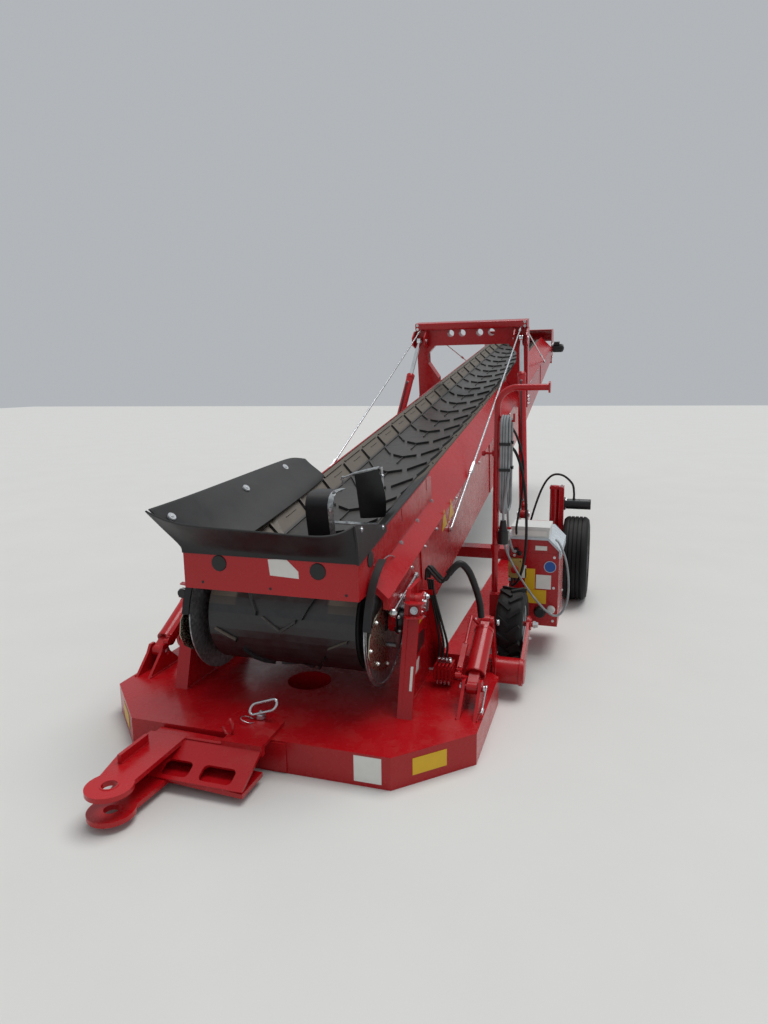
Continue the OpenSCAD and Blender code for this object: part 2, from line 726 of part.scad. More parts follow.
// Round guard plates beside the tail drum, held to the side plates by spacers
guard_r = 315;
guard_x = 430;
guard_t = 6;
module tail_guard() {
    difference() {
        union() {
            pin_across(guard_x, guard_x + guard_t, 0, 0, 2 * guard_r);
            for (a = [20, 75, 250])
                pin_across(guard_x + 1, boom_half_w - sheet_t - rest_gap, 120 * cos(a), 120 * sin(a), 24);
        }
        pin_across(guard_x - 1, guard_x + guard_t + 1, 0, 0, 120);
        // Cut below the leaning side sheet
        translate([guard_x - 1, front_s - 20, 200]) cube([guard_t + 2, 2 * guard_r, guard_r]);
    }
}
module tail_guards() color(zinc) on_boom() both_sides() tail_guard();

// Rollers that carry the return strand
roller_d = 60;
module return_rollers() color(zinc)
    on_boom()
        for (s = [2700 : 1350 : 6750]) {
            n = -tail_r + s * tan(return_lean) - cleat_h - roller_d / 2 - 1;
            pin_across(-belt_flat - 10, belt_flat + 10, s, n, roller_d);
            pin_across(-boom_half_w + sheet_t + rest_gap, boom_half_w - sheet_t - rest_gap, s, n, 20);
        }

// Hopper: red front plate and side panels that stand on the side sheets, with a flange at the sheets' front end
hopper_z = [723, 900];
flange_band = 20;
module hopper_flange() {
    lean = sheet_out * (sheet_t + flange_band);
    polygon([
        [boom_half_w, 125], [boom_half_w, side_top], [boom_half_w, fold_n], [trough_half_w, trough_n],
        [trough_half_w, trough_n] - lean, [boom_half_w - sheet_t - flange_band, fold_n - 12],
        [boom_half_w - sheet_t - flange_band, 125],
    ]);
}
// Foot of a side panel, where its inner face meets the leaning sheet
panel_share = (boom_half_w - hopper_half_w + sheet_t) / (boom_half_w - trough_half_w);
panel_foot = fold_n + (trough_n - fold_n) * panel_share + 2 * rest_gap;
panel_end = 990;
panel_n = boom_n(hopper_y, hopper_z[1]);
module side_panel() {
    flange_s = front_s - rest_gap;
    across(hopper_half_w - sheet_t, hopper_half_w)
        difference() {
            polygon([
                [boom_s(hopper_y, hopper_z[0]), boom_n(hopper_y, hopper_z[0])], [flange_s, 213],
                [flange_s, panel_foot], [panel_end, panel_foot], [panel_end, 402], [925, panel_n],
                [boom_s(hopper_y, hopper_z[1]), panel_n],
            ]);
            // Open slots for the hooks of the rubber sheets
            for (s = [374, 874]) translate([s, 348]) square([12, 90]);
        }
}
module hopper_frame() color(red) {
    plate_half_w = hopper_half_w - sheet_t - rest_gap;
    translate([-plate_half_w, hopper_y, hopper_z[0]])
        cube([2 * plate_half_w, sheet_t, hopper_z[1] - hopper_z[0]]);
    on_boom() both_sides() {
        side_panel();
        along(front_s - rest_gap - 8, front_s - rest_gap) hopper_flange();
    }
}

// A rubber sheet through rows of points, as thick as the given shift
module sheet(rows, shift) {
    n = len(rows[0]);
    count = len(rows) * n;
    rim = [
        for (k = [0 : n - 2]) k, for (i = [0 : len(rows) - 2]) i * n + n - 1,
        for (k = [n - 1 : -1 : 1]) (len(rows) - 1) * n + k, for (i = [len(rows) - 1 : -1 : 1]) i * n,
    ];
    polyhedron(
        [for (row = rows) each row, for (row = rows) for (point = row) point + shift],
        [
            for (i = [0 : len(rows) - 2]) for (k = [0 : n - 2])
                let (a = i * n + k, b = a + 1, c = a + n, d = c + 1)
                each [[a, d, b], [a, c, d], [count + a, count + b, count + d], [count + a, count + d, count + c]],
            for (i = [0 : len(rim) - 1])
                let (a = rim[i], b = rim[(i + 1) % len(rim)])
                each [[a, count + b, count + a], [a, b, count + b]],
        ]
    );
}

// Rubber skirt: a front apron that flares out over the front plate, and a return along the right panel
apron_rim = [
    [-550, -490, 1090], [-420, -520, 1052], [-260, -530, 1040], [-110, -530, 1038], [140, -530, 1030],
    [300, -520, 1022], [380, -498, 1035], [hopper_half_w, -452, 1062],
];
apron_foot_x = [-hopper_half_w, -330, -210, -90, 120, 250, 340, hopper_half_w];
module hopper_skirt() color(rubber) {
    front = hopper_y - rubber_t - rest_gap;
    sheet(
        [
            [for (x = apron_foot_x) [x, front, 850]], [for (x = apron_foot_x) [x, front, hopper_z[1]]],
            [
                for (i = [0 : len(apron_rim) - 1])
                    [
                        (apron_foot_x[i] + apron_rim[i][0]) / 2, (front + apron_rim[i][1]) / 2 + 10,
                        (hopper_z[1] + apron_rim[i][2]) / 2,
                    ]
            ],
            apron_rim,
        ],
        [0, rubber_t, 0]
    );
    across(hopper_half_w + rest_gap, hopper_half_w + rest_gap + rubber_t)
        polygon([
            [front - 3, 840], [front - 3, hopper_z[1]], [-428, 981], [-456, 1066], [-50, 990], [-32, 976], [-32, 925],
            [-300, 870],
        ]);
}

// Rubber side sheets that lie on the panels' upper edges and lean in over the trough: a tall one on the left
flap_low = [
    [345, -235, 362], [338, 0, 356], [322, 434, 352], [316, 757, 350], [310, 900, 346], [306, 1060, 342],
    [312, 1125, 346],
];
flap_seat_s = [-255, 0, 434, 757, 900, 1060, 1140];
left_top = [
    [552, -300, 612], [562, 0, 566], [549, 434, 521], [509, 852, 487], [494, 980, 476], [480, 1076, 464],
    [440, 1160, 430],
];
right_end = 970;
flap_shift = [-5, 0, 8];
// Where a side sheet lies on the inner edge of a panel
function seat(s) = [hopper_half_w - sheet_t, s, panel_n + rest_gap];
left_seat = [for (s = flap_seat_s) seat(s) - (s > 1100 ? [14, 0, 16] : [0, 0, 0])];
module hopper_flaps() color(rubber)
    on_boom() {
        on_side("left")
            sheet(
                [
                    flap_low, left_seat,
                    [for (i = [0 : len(left_top) - 1]) (left_seat[i] + left_top[i]) / 2 + [-6, 0, 8]], left_top,
                ],
                flap_shift
            );
        on_side("right")
            sheet(
                [
                    [for (point = flap_low) [point[0], min(point[1], right_end), point[2]]],
                    [for (s = flap_seat_s) seat(min(s, right_end))],
                    [for (s = flap_seat_s) seat(min(s, right_end)) + [7.5, 0, 7]],
                ],
                flap_shift
            );
    }

// Curved rubber guides inside the intake, on galvanised straps from the trough's right edge
guide_r = 110;
guide_at = [-10, 330];
guide_n = tail_r + 30;
guide_h = 180;
flap_r = 200;
flap_at = [100, 450];
flap_n = [348, 590];
strap_t = 6;
strap_w = 40;
bracket_n = trough_n + rest_gap;
module guide_rubbers() color(rubber)
    on_boom() {
        translate([guide_at[0], guide_at[1], guide_n])
            difference() {
                cylinder(h = guide_h, r = guide_r);
                translate([0, 0, -1]) cylinder(h = guide_h + 2, r = guide_r - rubber_t);
                translate([0, -guide_r - 10, -1]) cube([guide_r + 10, 2 * guide_r + 20, guide_h + 2]);
            }
        translate([flap_at[0], flap_at[1], flap_n[0]])
            difference() {
                cylinder(h = flap_n[1] - flap_n[0], r = flap_r);
                translate([0, 0, -1]) cylinder(h = flap_n[1] - flap_n[0] + 2, r = flap_r - rubber_t);
                translate([-flap_r - 10, -flap_r - 10, -1]) cube([flap_r + 10, 2 * flap_r + 20, 400]);
                translate([-1, 0, -1]) cube([flap_r + 10, flap_r + 10, 400]);
            }
    }
module guide_brackets() color(zinc)
    on_boom() {
        strap_x = guide_at[0] + rest_gap;
        strap_s = guide_at[1] - guide_r - 4;
        translate([strap_x, strap_s, guide_n + 10]) cube([strap_t, strap_w, guide_h + 6]);
        translate([strap_x + 1, strap_s + 1, bracket_n]) cube([trough_half_w - strap_x - 1, strap_w - 2, strap_t]);
        // Angle beside the second guide
        angle_x = flap_at[0] + flap_r - rubber_t;
        translate([angle_x - 2, flap_at[1] + rest_gap, bracket_n + 1])
            cube([strap_t + 10, strap_t, flap_n[1] - bracket_n + 8]);
        translate([angle_x, flap_at[1] + rest_gap + 1, bracket_n])
            cube([trough_half_w - angle_x, strap_w, strap_t - 1]);
    }

// Mast: a portal over the belt that stands on the side sheets, with cheeks for the lift rods
cheek_gap = 112;
portal_half_w = boom_half_w - 40;
mast_half_w = portal_half_w + cheek_gap;
mast_foot_n = 60;
portal_n = 706;
cheek_t = 12;
sheet_vec = [trough_half_w - boom_half_w, trough_n - fold_n];
sheet_out = [sheet_vec[1], -sheet_vec[0]] / norm(sheet_vec);
function on_sheet(share) = [boom_half_w, fold_n] + sheet_vec * share + sheet_out * rest_gap;
module mast_half_outline() {
    gusset = on_sheet(0.93);
    polygon([
        [-1, mast_n], [mast_half_w, mast_n], [mast_half_w, mast_foot_n],
        [boom_half_w + rest_gap, mast_foot_n], on_sheet(0), gusset, [gusset[0], gusset[1] + 45],
        [portal_half_w, 528], [portal_half_w, 620], [portal_half_w - 80, portal_n], [-1, portal_n],
    ]);
}
module mast_outline() {
    difference() {
        for (side = [0, 1]) mirror([side, 0]) mast_half_outline();
        for (x = [-210, -90, 90, 210]) translate([x, mast_n - 110]) circle(d = 70);
    }
}
module mast() color(red)
    on_boom() {
        along(mast_s, mast_s + mast_depth) mast_outline();
        both_sides()
            for (x = [mast_half_w, portal_half_w - cheek_t])
                across(x, x + cheek_t)
                    polygon([
                        [mast_s + 40, 700], [mast_s - 60, 690], [mast_s - 150, 730], [mast_s - 150, 810],
                        [mast_s - 60, 860], [mast_s + 40, 860],
                    ]);
        // Lugs of the stay rods
        both_sides()
            for (x = [stay_w[0] - rest_gap - 8, stay_w[1] + rest_gap])
                translate([x, mast_s - 36, 860]) cube([8, mast_depth + 72, 40]);
    }

// Stay rods from lugs at the mast's top down to bosses on the boom's sides, front and rear
stay_d = 14;
stay_gap = 5;
stay_w = [boom_half_w + stay_gap, boom_half_w + stay_gap + stay_d];
stay_eye = 30;
stay_front = [1075, 40];
stay_rear = [6960, 150];
stay_top = [[mast_s - 20, 880], [mast_s + mast_depth + 20, 880]];
module stay(top, foot) {
    x = (stay_w[0] + stay_w[1]) / 2;
    bar([x, top[0], top[1]], [x, foot[0], foot[1]], stay_d);
    for (end = [top, foot]) pin_across(stay_w[0], stay_w[1], end[0], end[1], stay_eye);
}
module stay_rods() color(zinc)
    on_boom() both_sides() {
        stay(stay_top[0], stay_front);
        stay(stay_top[1], stay_rear);
    }

// Hood over the head drum: cheeks on the side sheets and a sheet that curves down over the drum
hood_n = 430;
hood_r = 150;
function hood_arc(r, from, to) =
    [for (a = [from : sign(to - from) * 12 : to]) [boom_l + r * cos(a), hood_n - hood_r + r * sin(a)]];
module head_hood() color(red)
    on_boom() {
        both_sides()
            across(boom_half_w - sheet_t, boom_half_w)
                polygon([
                    [hood_s[0], side_top + rest_gap], [hood_s[1] - 40, side_top + rest_gap], each hood_arc(hood_r, -30, 90),
                    [hood_s[0] + 20, hood_n], [hood_s[0], hood_n - 30],
                ]);
        across(-boom_half_w + 1, boom_half_w - 1)
            polygon([
                [boom_l - 70, hood_n - 3], each hood_arc(hood_r - 3, 90, -18),
                each hood_arc(hood_r - 3 - sheet_t, -18, 90), [boom_l - 70, hood_n - 3 - sheet_t],
            ]);
    }

module belt_motor() color(black)
    on_boom()
        pin_across(boom_half_w + rest_gap, boom_half_w + 150, boom_l, head_n, 110);

// Lift cylinders
module lift_barrel(side) color(black) {
    dir = lift_vec / lift_l;
    on_side(side)
        difference() {
            union() {
                bar(lift_low, lift_low + dir * 70, 40);
                bar(lift_low + dir * 66, lift_low + dir * barrel_l, barrel_d);
                pin_across(lift_low[0] - 25, lift_low[0] + 25, lift_low[1], lift_low[2], 76);
            }
            pin_across(lift_low[0] - 60, lift_low[0] + 60, lift_low[1], lift_low[2], 40 + 2 * pin_play);
            bar(lift_low + dir * 90, lift_low + dir * (barrel_l + 5), rod_d + 2 * pin_play);
        }
}
module lift_rod(side) color(pale) {
    dir = lift_vec / lift_l;
    on_side(side)
        difference() {
            union() {
                bar(lift_low + dir * 680, lift_high - dir * 20, rod_d);
                pin_across(lift_high[0] - 17, lift_high[0] + 17, lift_high[1], lift_high[2], 72);
            }
            pin_across(lift_high[0] - 40, lift_high[0] + 40, lift_high[1], lift_high[2], 36);
        }
}

// Rear legs: swivel pin, cap, upright with the stub axle and the swivel motor
leg_x = [kingpin_x + 39, kingpin_x + 67];
stub_d = 45;
module rear_leg(side) color(red)
    on_side(side) {
        translate([kingpin_x, rear_y, housing_z[0] - 30])
            cylinder(h = housing_z[1] - housing_z[0] + 50, d = kingpin_d);
        translate([leg_x[0], rear_y - 50, 250]) cube([leg_x[1] - leg_x[0], 100, housing_z[1] + 20 - 250]);
        translate([kingpin_x - 36, rear_y - 38, housing_z[1] + 1]) cube([leg_x[1] - kingpin_x + 36, 76, 19]);
        translate([kingpin_x - 36, rear_y - 38, housing_z[0] - 25]) cube([leg_x[1] - kingpin_x + 36, 76, 24]);
        pin_across(leg_x[1] - 1, rear_x + 60, rear_y, rear_r, stub_d);
    }

// Swivel motor on the outer face of a rear leg
motor_z = 720;
module leg_motor(side) color(black)
    on_side(side) {
        pin_across(leg_x[1] + rest_gap, leg_x[1] + 14, rear_y, motor_z, 96);
        pin_across(leg_x[1] + 13, rear_x + rear_w / 2, rear_y, motor_z, 76);
    }

// Wheels: tyre and rim turned round the axle, with grooves round the tread
groove_w = 8;
groove_depth = 9;
module tyre(half_w, r, rim_r, shoulder, grooves = []) {
    rotate([0, 90, 0])
        rotate_extrude($fn = 96)
            polygon([
                [rim_r, -half_w + 18], [rim_r + 14, -half_w + 4], [(r + rim_r) / 2, -half_w],
                [r - shoulder, -half_w + 6], [r - 6, -half_w + shoulder], [r, -half_w + shoulder + 14],
                for (z = grooves) each [
                    [r, z - groove_w / 2], [r - groove_depth, z - groove_w / 2 + 2],
                    [r - groove_depth, z + groove_w / 2 - 2], [r, z + groove_w / 2],
                ],
                [r, half_w - shoulder - 14], [r - 6, half_w - shoulder], [r - shoulder, half_w - 6],
                [(r + rim_r) / 2, half_w], [rim_r + 14, half_w - 4], [rim_r, half_w - 18],
            ]);
}
module rim(half_w, rim_r, hub_r, bore_d) {
    rotate([0, 90, 0])
        difference() {
            rotate_extrude($fn = 96)
                polygon([
                    [0, -half_w + 30], [hub_r, -half_w + 30], [hub_r, -12], [rim_r - 26, -12],
                    [rim_r - 22, -half_w + 26], [rim_r - rest_gap, -half_w + 20], [rim_r - rest_gap, half_w - 20],
                    [rim_r - 22, half_w - 26], [rim_r - 26, -2], [hub_r, 6], [hub_r, half_w - 30], [0, half_w - 30],
                ]);
            translate([0, 0, -half_w]) cylinder(h = 2 * half_w, d = bore_d);
        }
}
rear_rim_r = 185;
lug_rim_r = 102;
module rear_tyre(side) color(rubber)
    on_side(side) translate([rear_x, rear_y, rear_r]) tyre(rear_w / 2, rear_r, rear_rim_r, 22, [-44, -15, 15, 44]);
module rear_rim(side) color(pale)
    on_side(side) translate([rear_x, rear_y, rear_r]) rim(rear_w / 2, rear_rim_r, 60, stub_d + 2 * pin_play);

lug_y = arm_y + arm_reach;
lug_z = arm_z + arm_rise;
arm_axle_d = 28;
// Lugs of the driven tyre: slanted bars in pairs that point forwards at the middle
lug_h = 13;
lug_bar = [80, 17, 26];
lug_count = 13;
module arm_tyre(side) color(rubber)
    on_side(side) translate([lug_x, lug_y, lug_z]) {
        tyre(lug_w / 2, lug_r - 3.5 - lug_h, lug_rim_r, 18);
        for (i = [0 : lug_count - 1]) for (half = [0, 1])
            mirror([half, 0, 0]) rotate([(i + half / 2) * 360 / lug_count + 8, 0, 0])
                translate([-3, 0, lug_r - 3.5 - lug_bar[2]]) rotate([0, 0, 38])
                    translate([0, -lug_bar[1] / 2, 0]) cube(lug_bar);
    }
module arm_rim(side) color(pale)
    on_side(side) translate([lug_x, lug_y, lug_z]) rim(lug_w / 2, lug_rim_r, 42, arm_axle_d + 2 * pin_play);

// Wheel arms: a tube round the hinge pin, an outer plate to the axle and an inner lever for the cylinder
tube_r = 69;
lever_gap = 48;
lever_t = 15;
lever_w = 84;
lever_start = 120;
lever = [arm_high[0] - arm_y, arm_high[1] - arm_z];
lever_lean = atan2(lever[1], lever[0]);
module arm_outer_plate() {
    along_angle = atan2(arm_rise, arm_reach);
    reach = norm([arm_reach, arm_rise]);
    translate([arm_outer_x, arm_y, arm_z]) rotate([along_angle, 0, 0]) {
        pin_across(0, 15, 0, 0, 2 * tube_r + 10);
        pin_across(0, 15, reach, 0, 90);
        across(0, 15) polygon([[0, -tube_r], [0, tube_r], [reach, 38], [reach, -38]]);
    }
}
module lever_plate(x, inner_r) {
    translate([x, arm_y, arm_z]) rotate([lever_lean, 0, 0]) {
        across(0, lever_t)
            polygon([
                [inner_r, -lever_w / 2], [norm(lever), -24], [norm(lever), 24], [inner_r, lever_w / 2],
            ]);
        pin_across(0, lever_t, norm(lever), 0, 56);
    }
}
module wheel_arm(side) color(red) {
    outer_lever_x = arm_tube_x - lever_t;
    inner_lever_x = arm_cyl_x - lever_gap / 2 - lever_t;
    on_side(side)
        difference() {
            union() {
                pin_across(outer_lever_x, arm_outer_x + 1, arm_y, arm_z, 2 * tube_r);
                arm_outer_plate();
                lever_plate(outer_lever_x, 0);
                lever_plate(inner_lever_x, lever_start);
                // Web that joins the two lever plates
                translate([inner_lever_x, arm_y, arm_z]) rotate([lever_lean, 0, 0])
                    translate([1, lever_start, -lever_w / 2]) cube([outer_lever_x - inner_lever_x, 60, 12]);
                pin_across(inner_lever_x - 8, outer_lever_x + lever_t + 2, arm_high[0], arm_high[1], 24);
                pin_across(lug_x - 60, arm_outer_x + 35, lug_y, lug_z, arm_axle_d);
            }
            pin_across(outer_lever_x - 1, arm_outer_x - 2, arm_y, arm_z, arm_pin_d + 2 * pin_play);
        }
}

module on_arm_cylinder() {
    translate([arm_cyl_x, arm_low[0], arm_low[1]]) rotate([arm_cyl_lean, 0, 0]) children();
}
module arm_barrel(side) color(red)
    on_side(side)
        difference() {
            on_arm_cylinder() {
                pin_across(-24, 24, 0, 0, 56);
                translate([-24, 0, -24]) cube([48, 76, 48]);
                translate([0, 74, 0]) rotate([-90, 0, 0]) cylinder(h = arm_cyl_l - 74 - 62, d = arm_barrel_d);
            }
            on_arm_cylinder() {
                pin_across(-30, 30, 0, 0, 30 + 2 * pin_play);
                translate([0, 86, 0]) rotate([-90, 0, 0]) cylinder(h = arm_cyl_l, d = arm_rod_d + 2 * pin_play);
            }
        }
module arm_rod(side) color(pale)
    on_side(side)
        difference() {
            on_arm_cylinder() {
                translate([0, 96, 0]) rotate([-90, 0, 0]) cylinder(h = arm_cyl_l - 96 - 52, d = arm_rod_d);
                translate([-21, arm_cyl_l - 60, -24]) cube([42, 50, 48]);
                pin_across(-21, 21, arm_cyl_l, 0, 64);
            }
            on_arm_cylinder() pin_across(-30, 30, arm_cyl_l, 0, 46);
        }

base_plate();
pivot_posts();
pivot_pins();
side_beams();
rear_axle_frame();
control_cabinet();
cabinet_cover();
cable_arm();
supply_cable_hank();
supply_cable();
supply_fittings();
stop_switch();
junction_box();
drawbar();
drawbar_pin();
boom_sides();
trough_bed();
conveyor_belt();
tail_drum();
tail_guards();
head_drum();
return_rollers();
hopper_frame();
hopper_skirt();
hopper_flaps();
guide_rubbers();
guide_brackets();
mast();
stay_rods();
head_hood();
belt_motor();
lift_barrel("left");  // lift_barrel_left
lift_barrel("right");  // lift_barrel_right
lift_rod("left");  // lift_rod_left
lift_rod("right");  // lift_rod_right
rear_leg("left");  // rear_leg_left
rear_leg("right");  // rear_leg_right
leg_motor("left");  // leg_motor_left
leg_motor("right");  // leg_motor_right
rear_tyre("left");  // rear_tyre_left
rear_tyre("right");  // rear_tyre_right
rear_rim("left");  // rear_rim_left
rear_rim("right");  // rear_rim_right
wheel_arm("left");  // wheel_arm_left
wheel_arm("right");  // wheel_arm_right
arm_tyre("left");  // arm_tyre_left
arm_tyre("right");  // arm_tyre_right
arm_rim("left");  // arm_rim_left
arm_rim("right");  // arm_rim_right
arm_barrel("left");  // arm_barrel_left
arm_barrel("right");  // arm_barrel_right
arm_rod("left");  // arm_rod_left
arm_rod("right");  // arm_rod_right
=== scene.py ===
"""Mobile store loader: the looks of a troughed belt boom on its floor plate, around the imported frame."""
import math

import bmesh
import bpy
from mathutils import Matrix, Vector


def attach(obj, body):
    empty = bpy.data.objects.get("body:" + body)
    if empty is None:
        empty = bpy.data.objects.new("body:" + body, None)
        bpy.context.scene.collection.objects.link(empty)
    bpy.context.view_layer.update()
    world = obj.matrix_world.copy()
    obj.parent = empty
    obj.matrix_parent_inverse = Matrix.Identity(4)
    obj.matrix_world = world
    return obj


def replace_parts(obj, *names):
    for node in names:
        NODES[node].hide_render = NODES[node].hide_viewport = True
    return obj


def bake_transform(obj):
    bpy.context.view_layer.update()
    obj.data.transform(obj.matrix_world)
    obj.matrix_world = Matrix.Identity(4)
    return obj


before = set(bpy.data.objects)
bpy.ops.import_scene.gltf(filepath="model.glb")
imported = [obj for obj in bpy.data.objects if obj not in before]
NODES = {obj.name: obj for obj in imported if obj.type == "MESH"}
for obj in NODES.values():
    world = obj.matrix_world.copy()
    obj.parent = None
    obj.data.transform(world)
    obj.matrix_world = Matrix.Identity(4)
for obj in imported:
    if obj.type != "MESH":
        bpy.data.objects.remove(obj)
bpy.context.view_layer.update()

# Camera at the photograph's place: position in metres, angles in degrees, focal length in the photo's pixels
CAMERA_AT = Vector((1.416, -3.108, 1.651))
CAMERA_YAW = 17.92
CAMERA_PITCH = 10.61
CAMERA_ROLL = -0.77
FOCAL_PX = 707.4
LONG_SIDE_PX = 1024
SENSOR_MM = 36.0

# The boom's own frame: origin on the tail drum's axis, pitched up towards the head
DRUM = Vector((0.0, -0.060, 0.536))
BOOM_PITCH = math.radians(9.71)
SIDES = (-1, 1)
LEFT_RIGHT = ((-1, "left"), (1, "right"))
ACROSS, ALONG, UP = Vector((1, 0, 0)), Vector((0, 1, 0)), Vector((0, 0, 1))


def boom(x, s, n):
    """A point given in the boom's own frame: x across, s along the belt, n square to it, in millimetres."""
    s, n = s / 1000.0, n / 1000.0
    return DRUM + Vector((x / 1000.0, s * math.cos(BOOM_PITCH) - n * math.sin(BOOM_PITCH),
                          s * math.sin(BOOM_PITCH) + n * math.cos(BOOM_PITCH)))


def boom_way(x, s, n):
    """A direction given in the boom's own frame."""
    return (boom(x, s, n) - boom(0, 0, 0)).normalized()


def mm(x, y, z):
    """A point of the machine given in millimetres."""
    return Vector((x, y, z)) / 1000.0


def linear(hex_colour):
    """An sRGB hex colour as linear RGBA."""
    parts = [int(hex_colour[i:i + 2], 16) / 255 for i in (1, 3, 5)]
    return [p / 12.92 if p <= 0.04045 else ((p + 0.055) / 1.055) ** 2.4 for p in parts] + [1.0]


def node(tree, kind, settings=None, **sockets):
    """Adds a shader or geometry node: settings are its properties, sockets its inputs by name or place (i0, i1)."""
    made = tree.nodes.new(kind)
    for name, value in (settings or {}).items():
        setattr(made, name, value)
    for name, value in sockets.items():
        by_place = name[0] == "i" and name[1:].isdigit()
        socket = made.inputs[int(name[1:]) if by_place else name.replace("_", " ")]
        if isinstance(value, bpy.types.NodeSocket):
            tree.links.new(value, socket)
        elif isinstance(value, str) and value.startswith("#"):
            socket.default_value = linear(value)
        else:
            socket.default_value = value
    return made


def ramp(tree, factor, stops):
    """A colour ramp over (position, grey or hex) stops."""
    made = node(tree, "ShaderNodeValToRGB", Fac=factor)
    band = made.color_ramp
    while len(band.elements) < len(stops):
        band.elements.new(0.5)
    for element, (place, value) in zip(band.elements, stops):
        element.position = place
        element.color = linear(value) if isinstance(value, str) else (value, value, value, 1.0)
    return made.outputs["Color"]


def noise(tree, coords, size_mm, detail=4.0, rough=0.55):
    """Noise whose features are about size_mm across."""
    return node(tree, "ShaderNodeTexNoise", Vector=coords, Scale=1000.0 / size_mm, Detail=detail,
                Roughness=rough).outputs["Fac"]


def mix(tree, factor, first, second):
    return node(tree, "ShaderNodeMix", {"data_type": "RGBA"}, i0=factor, i6=first, i7=second).outputs[2]


def maths(tree, operation, first, second=0.5, third=0.5):
    return node(tree, "ShaderNodeMath", {"operation": operation}, i0=first, i1=second, i2=third).outputs[0]


def material(name, roughness=0.5, **sockets):
    """A Principled material with object coordinates; returns material, tree, shader and coordinates."""
    made = bpy.data.materials.new(name)
    made.use_nodes = True
    tree = made.node_tree
    shader = tree.nodes["Principled BSDF"]
    shader.inputs["Roughness"].default_value = roughness
    for key, value in sockets.items():
        shader.inputs[key.replace("_", " ")].default_value = value
    coords = node(tree, "ShaderNodeTexCoord").outputs["Object"]
    return made, tree, shader, coords


def vary(tree, shader, socket, coords, size_mm, low, high, high_at=0.7, detail=4.0):
    """Lets one socket of a shader run between two values over noise of a size."""
    colour = ramp(tree, noise(tree, coords, size_mm, detail), [(0.3, low), (high_at, high)])
    tree.links.new(colour, shader.inputs[socket])


def set_bump(tree, shader, height, distance_mm, strength=0.5):
    bump = node(tree, "ShaderNodeBump", Height=height, Distance=distance_mm / 1000.0, Strength=strength)
    tree.links.new(bump.outputs["Normal"], shader.inputs["Normal"])


def fade(tree, value, low, high):
    """0 below low, 1 above high, even between."""
    return node(tree, "ShaderNodeMapRange", Value=value, From_Min=low, From_Max=high).outputs["Result"]


def up_facing(tree, low=0.55, high=0.95):
    """0 on walls, 1 on faces that look up, where dust and rain lie."""
    normal = node(tree, "ShaderNodeNewGeometry").outputs["Normal"]
    return fade(tree, node(tree, "ShaderNodeSeparateXYZ", Vector=normal).outputs["Z"], low, high)


# Two-pack enamel sprayed on welded steel: satin gloss, faint orange peel, a thin film of dust where it lies flat
def enamel(name, hex_colour, dark, dusty=0.1):
    made, tree, shader, coords = material(name, Coat_Weight=0.12, Coat_Roughness=0.1, IOR=1.5, Specular_IOR_Level=0.38)
    cloud = noise(tree, coords, 900.0, 2.0)
    body = mix(tree, ramp(tree, cloud, [(0.3, 0.0), (0.7, 1.0)]), linear(hex_colour), linear(dark))
    grime = maths(tree, "MULTIPLY", ramp(tree, noise(tree, coords, 160.0, 8.0, 0.7), [(0.5, 0.0), (0.85, 1.0)]),
                  maths(tree, "MULTIPLY_ADD", up_facing(tree), dusty, dusty * 0.35))
    tree.links.new(mix(tree, grime, body, linear("#8f7a6a")), shader.inputs["Base Color"])
    gloss = ramp(tree, noise(tree, coords, 60.0, 6.0), [(0.3, 0.2), (0.75, 0.34)])
    tree.links.new(maths(tree, "MULTIPLY_ADD", grime, 0.9, gloss), shader.inputs["Roughness"])
    set_bump(tree, shader, noise(tree, coords, 16.0, 2.0), 0.008, 0.4)
    return made


# Hot-dip galvanised sheet: dull grey zinc with its crystal pattern
def galvanised():
    made, tree, shader, coords = material("galvanised_sheet", Metallic=0.85)
    crystal_mm = 14.0
    spangle = node(tree, "ShaderNodeTexVoronoi", {"feature": "F1"}, Vector=coords, Scale=1000.0 / crystal_mm)
    tone = node(tree, "ShaderNodeSeparateColor", Color=spangle.outputs["Color"]).outputs[0]
    greys = ramp(tree, tone, [(0.0, "#8d9193"), (0.5, "#a4a8aa"), (1.0, "#babdbe")])
    tree.links.new(greys, shader.inputs["Base Color"])
    vary(tree, shader, "Roughness", coords, 30.0, 0.32, 0.5)
    return made


def varied(name, colour, rough, grain=None, **sockets):
    """A finish whose colour and roughness vary as told to vary(); its grain is (size, detail, depth) in millimetres."""
    made, tree, shader, coords = material(name, **sockets)
    vary(tree, shader, "Base Color", coords, *colour)
    vary(tree, shader, "Roughness", coords, *rough)
    if grain:
        set_bump(tree, shader, noise(tree, coords, *grain[:2]), grain[2])
    return made


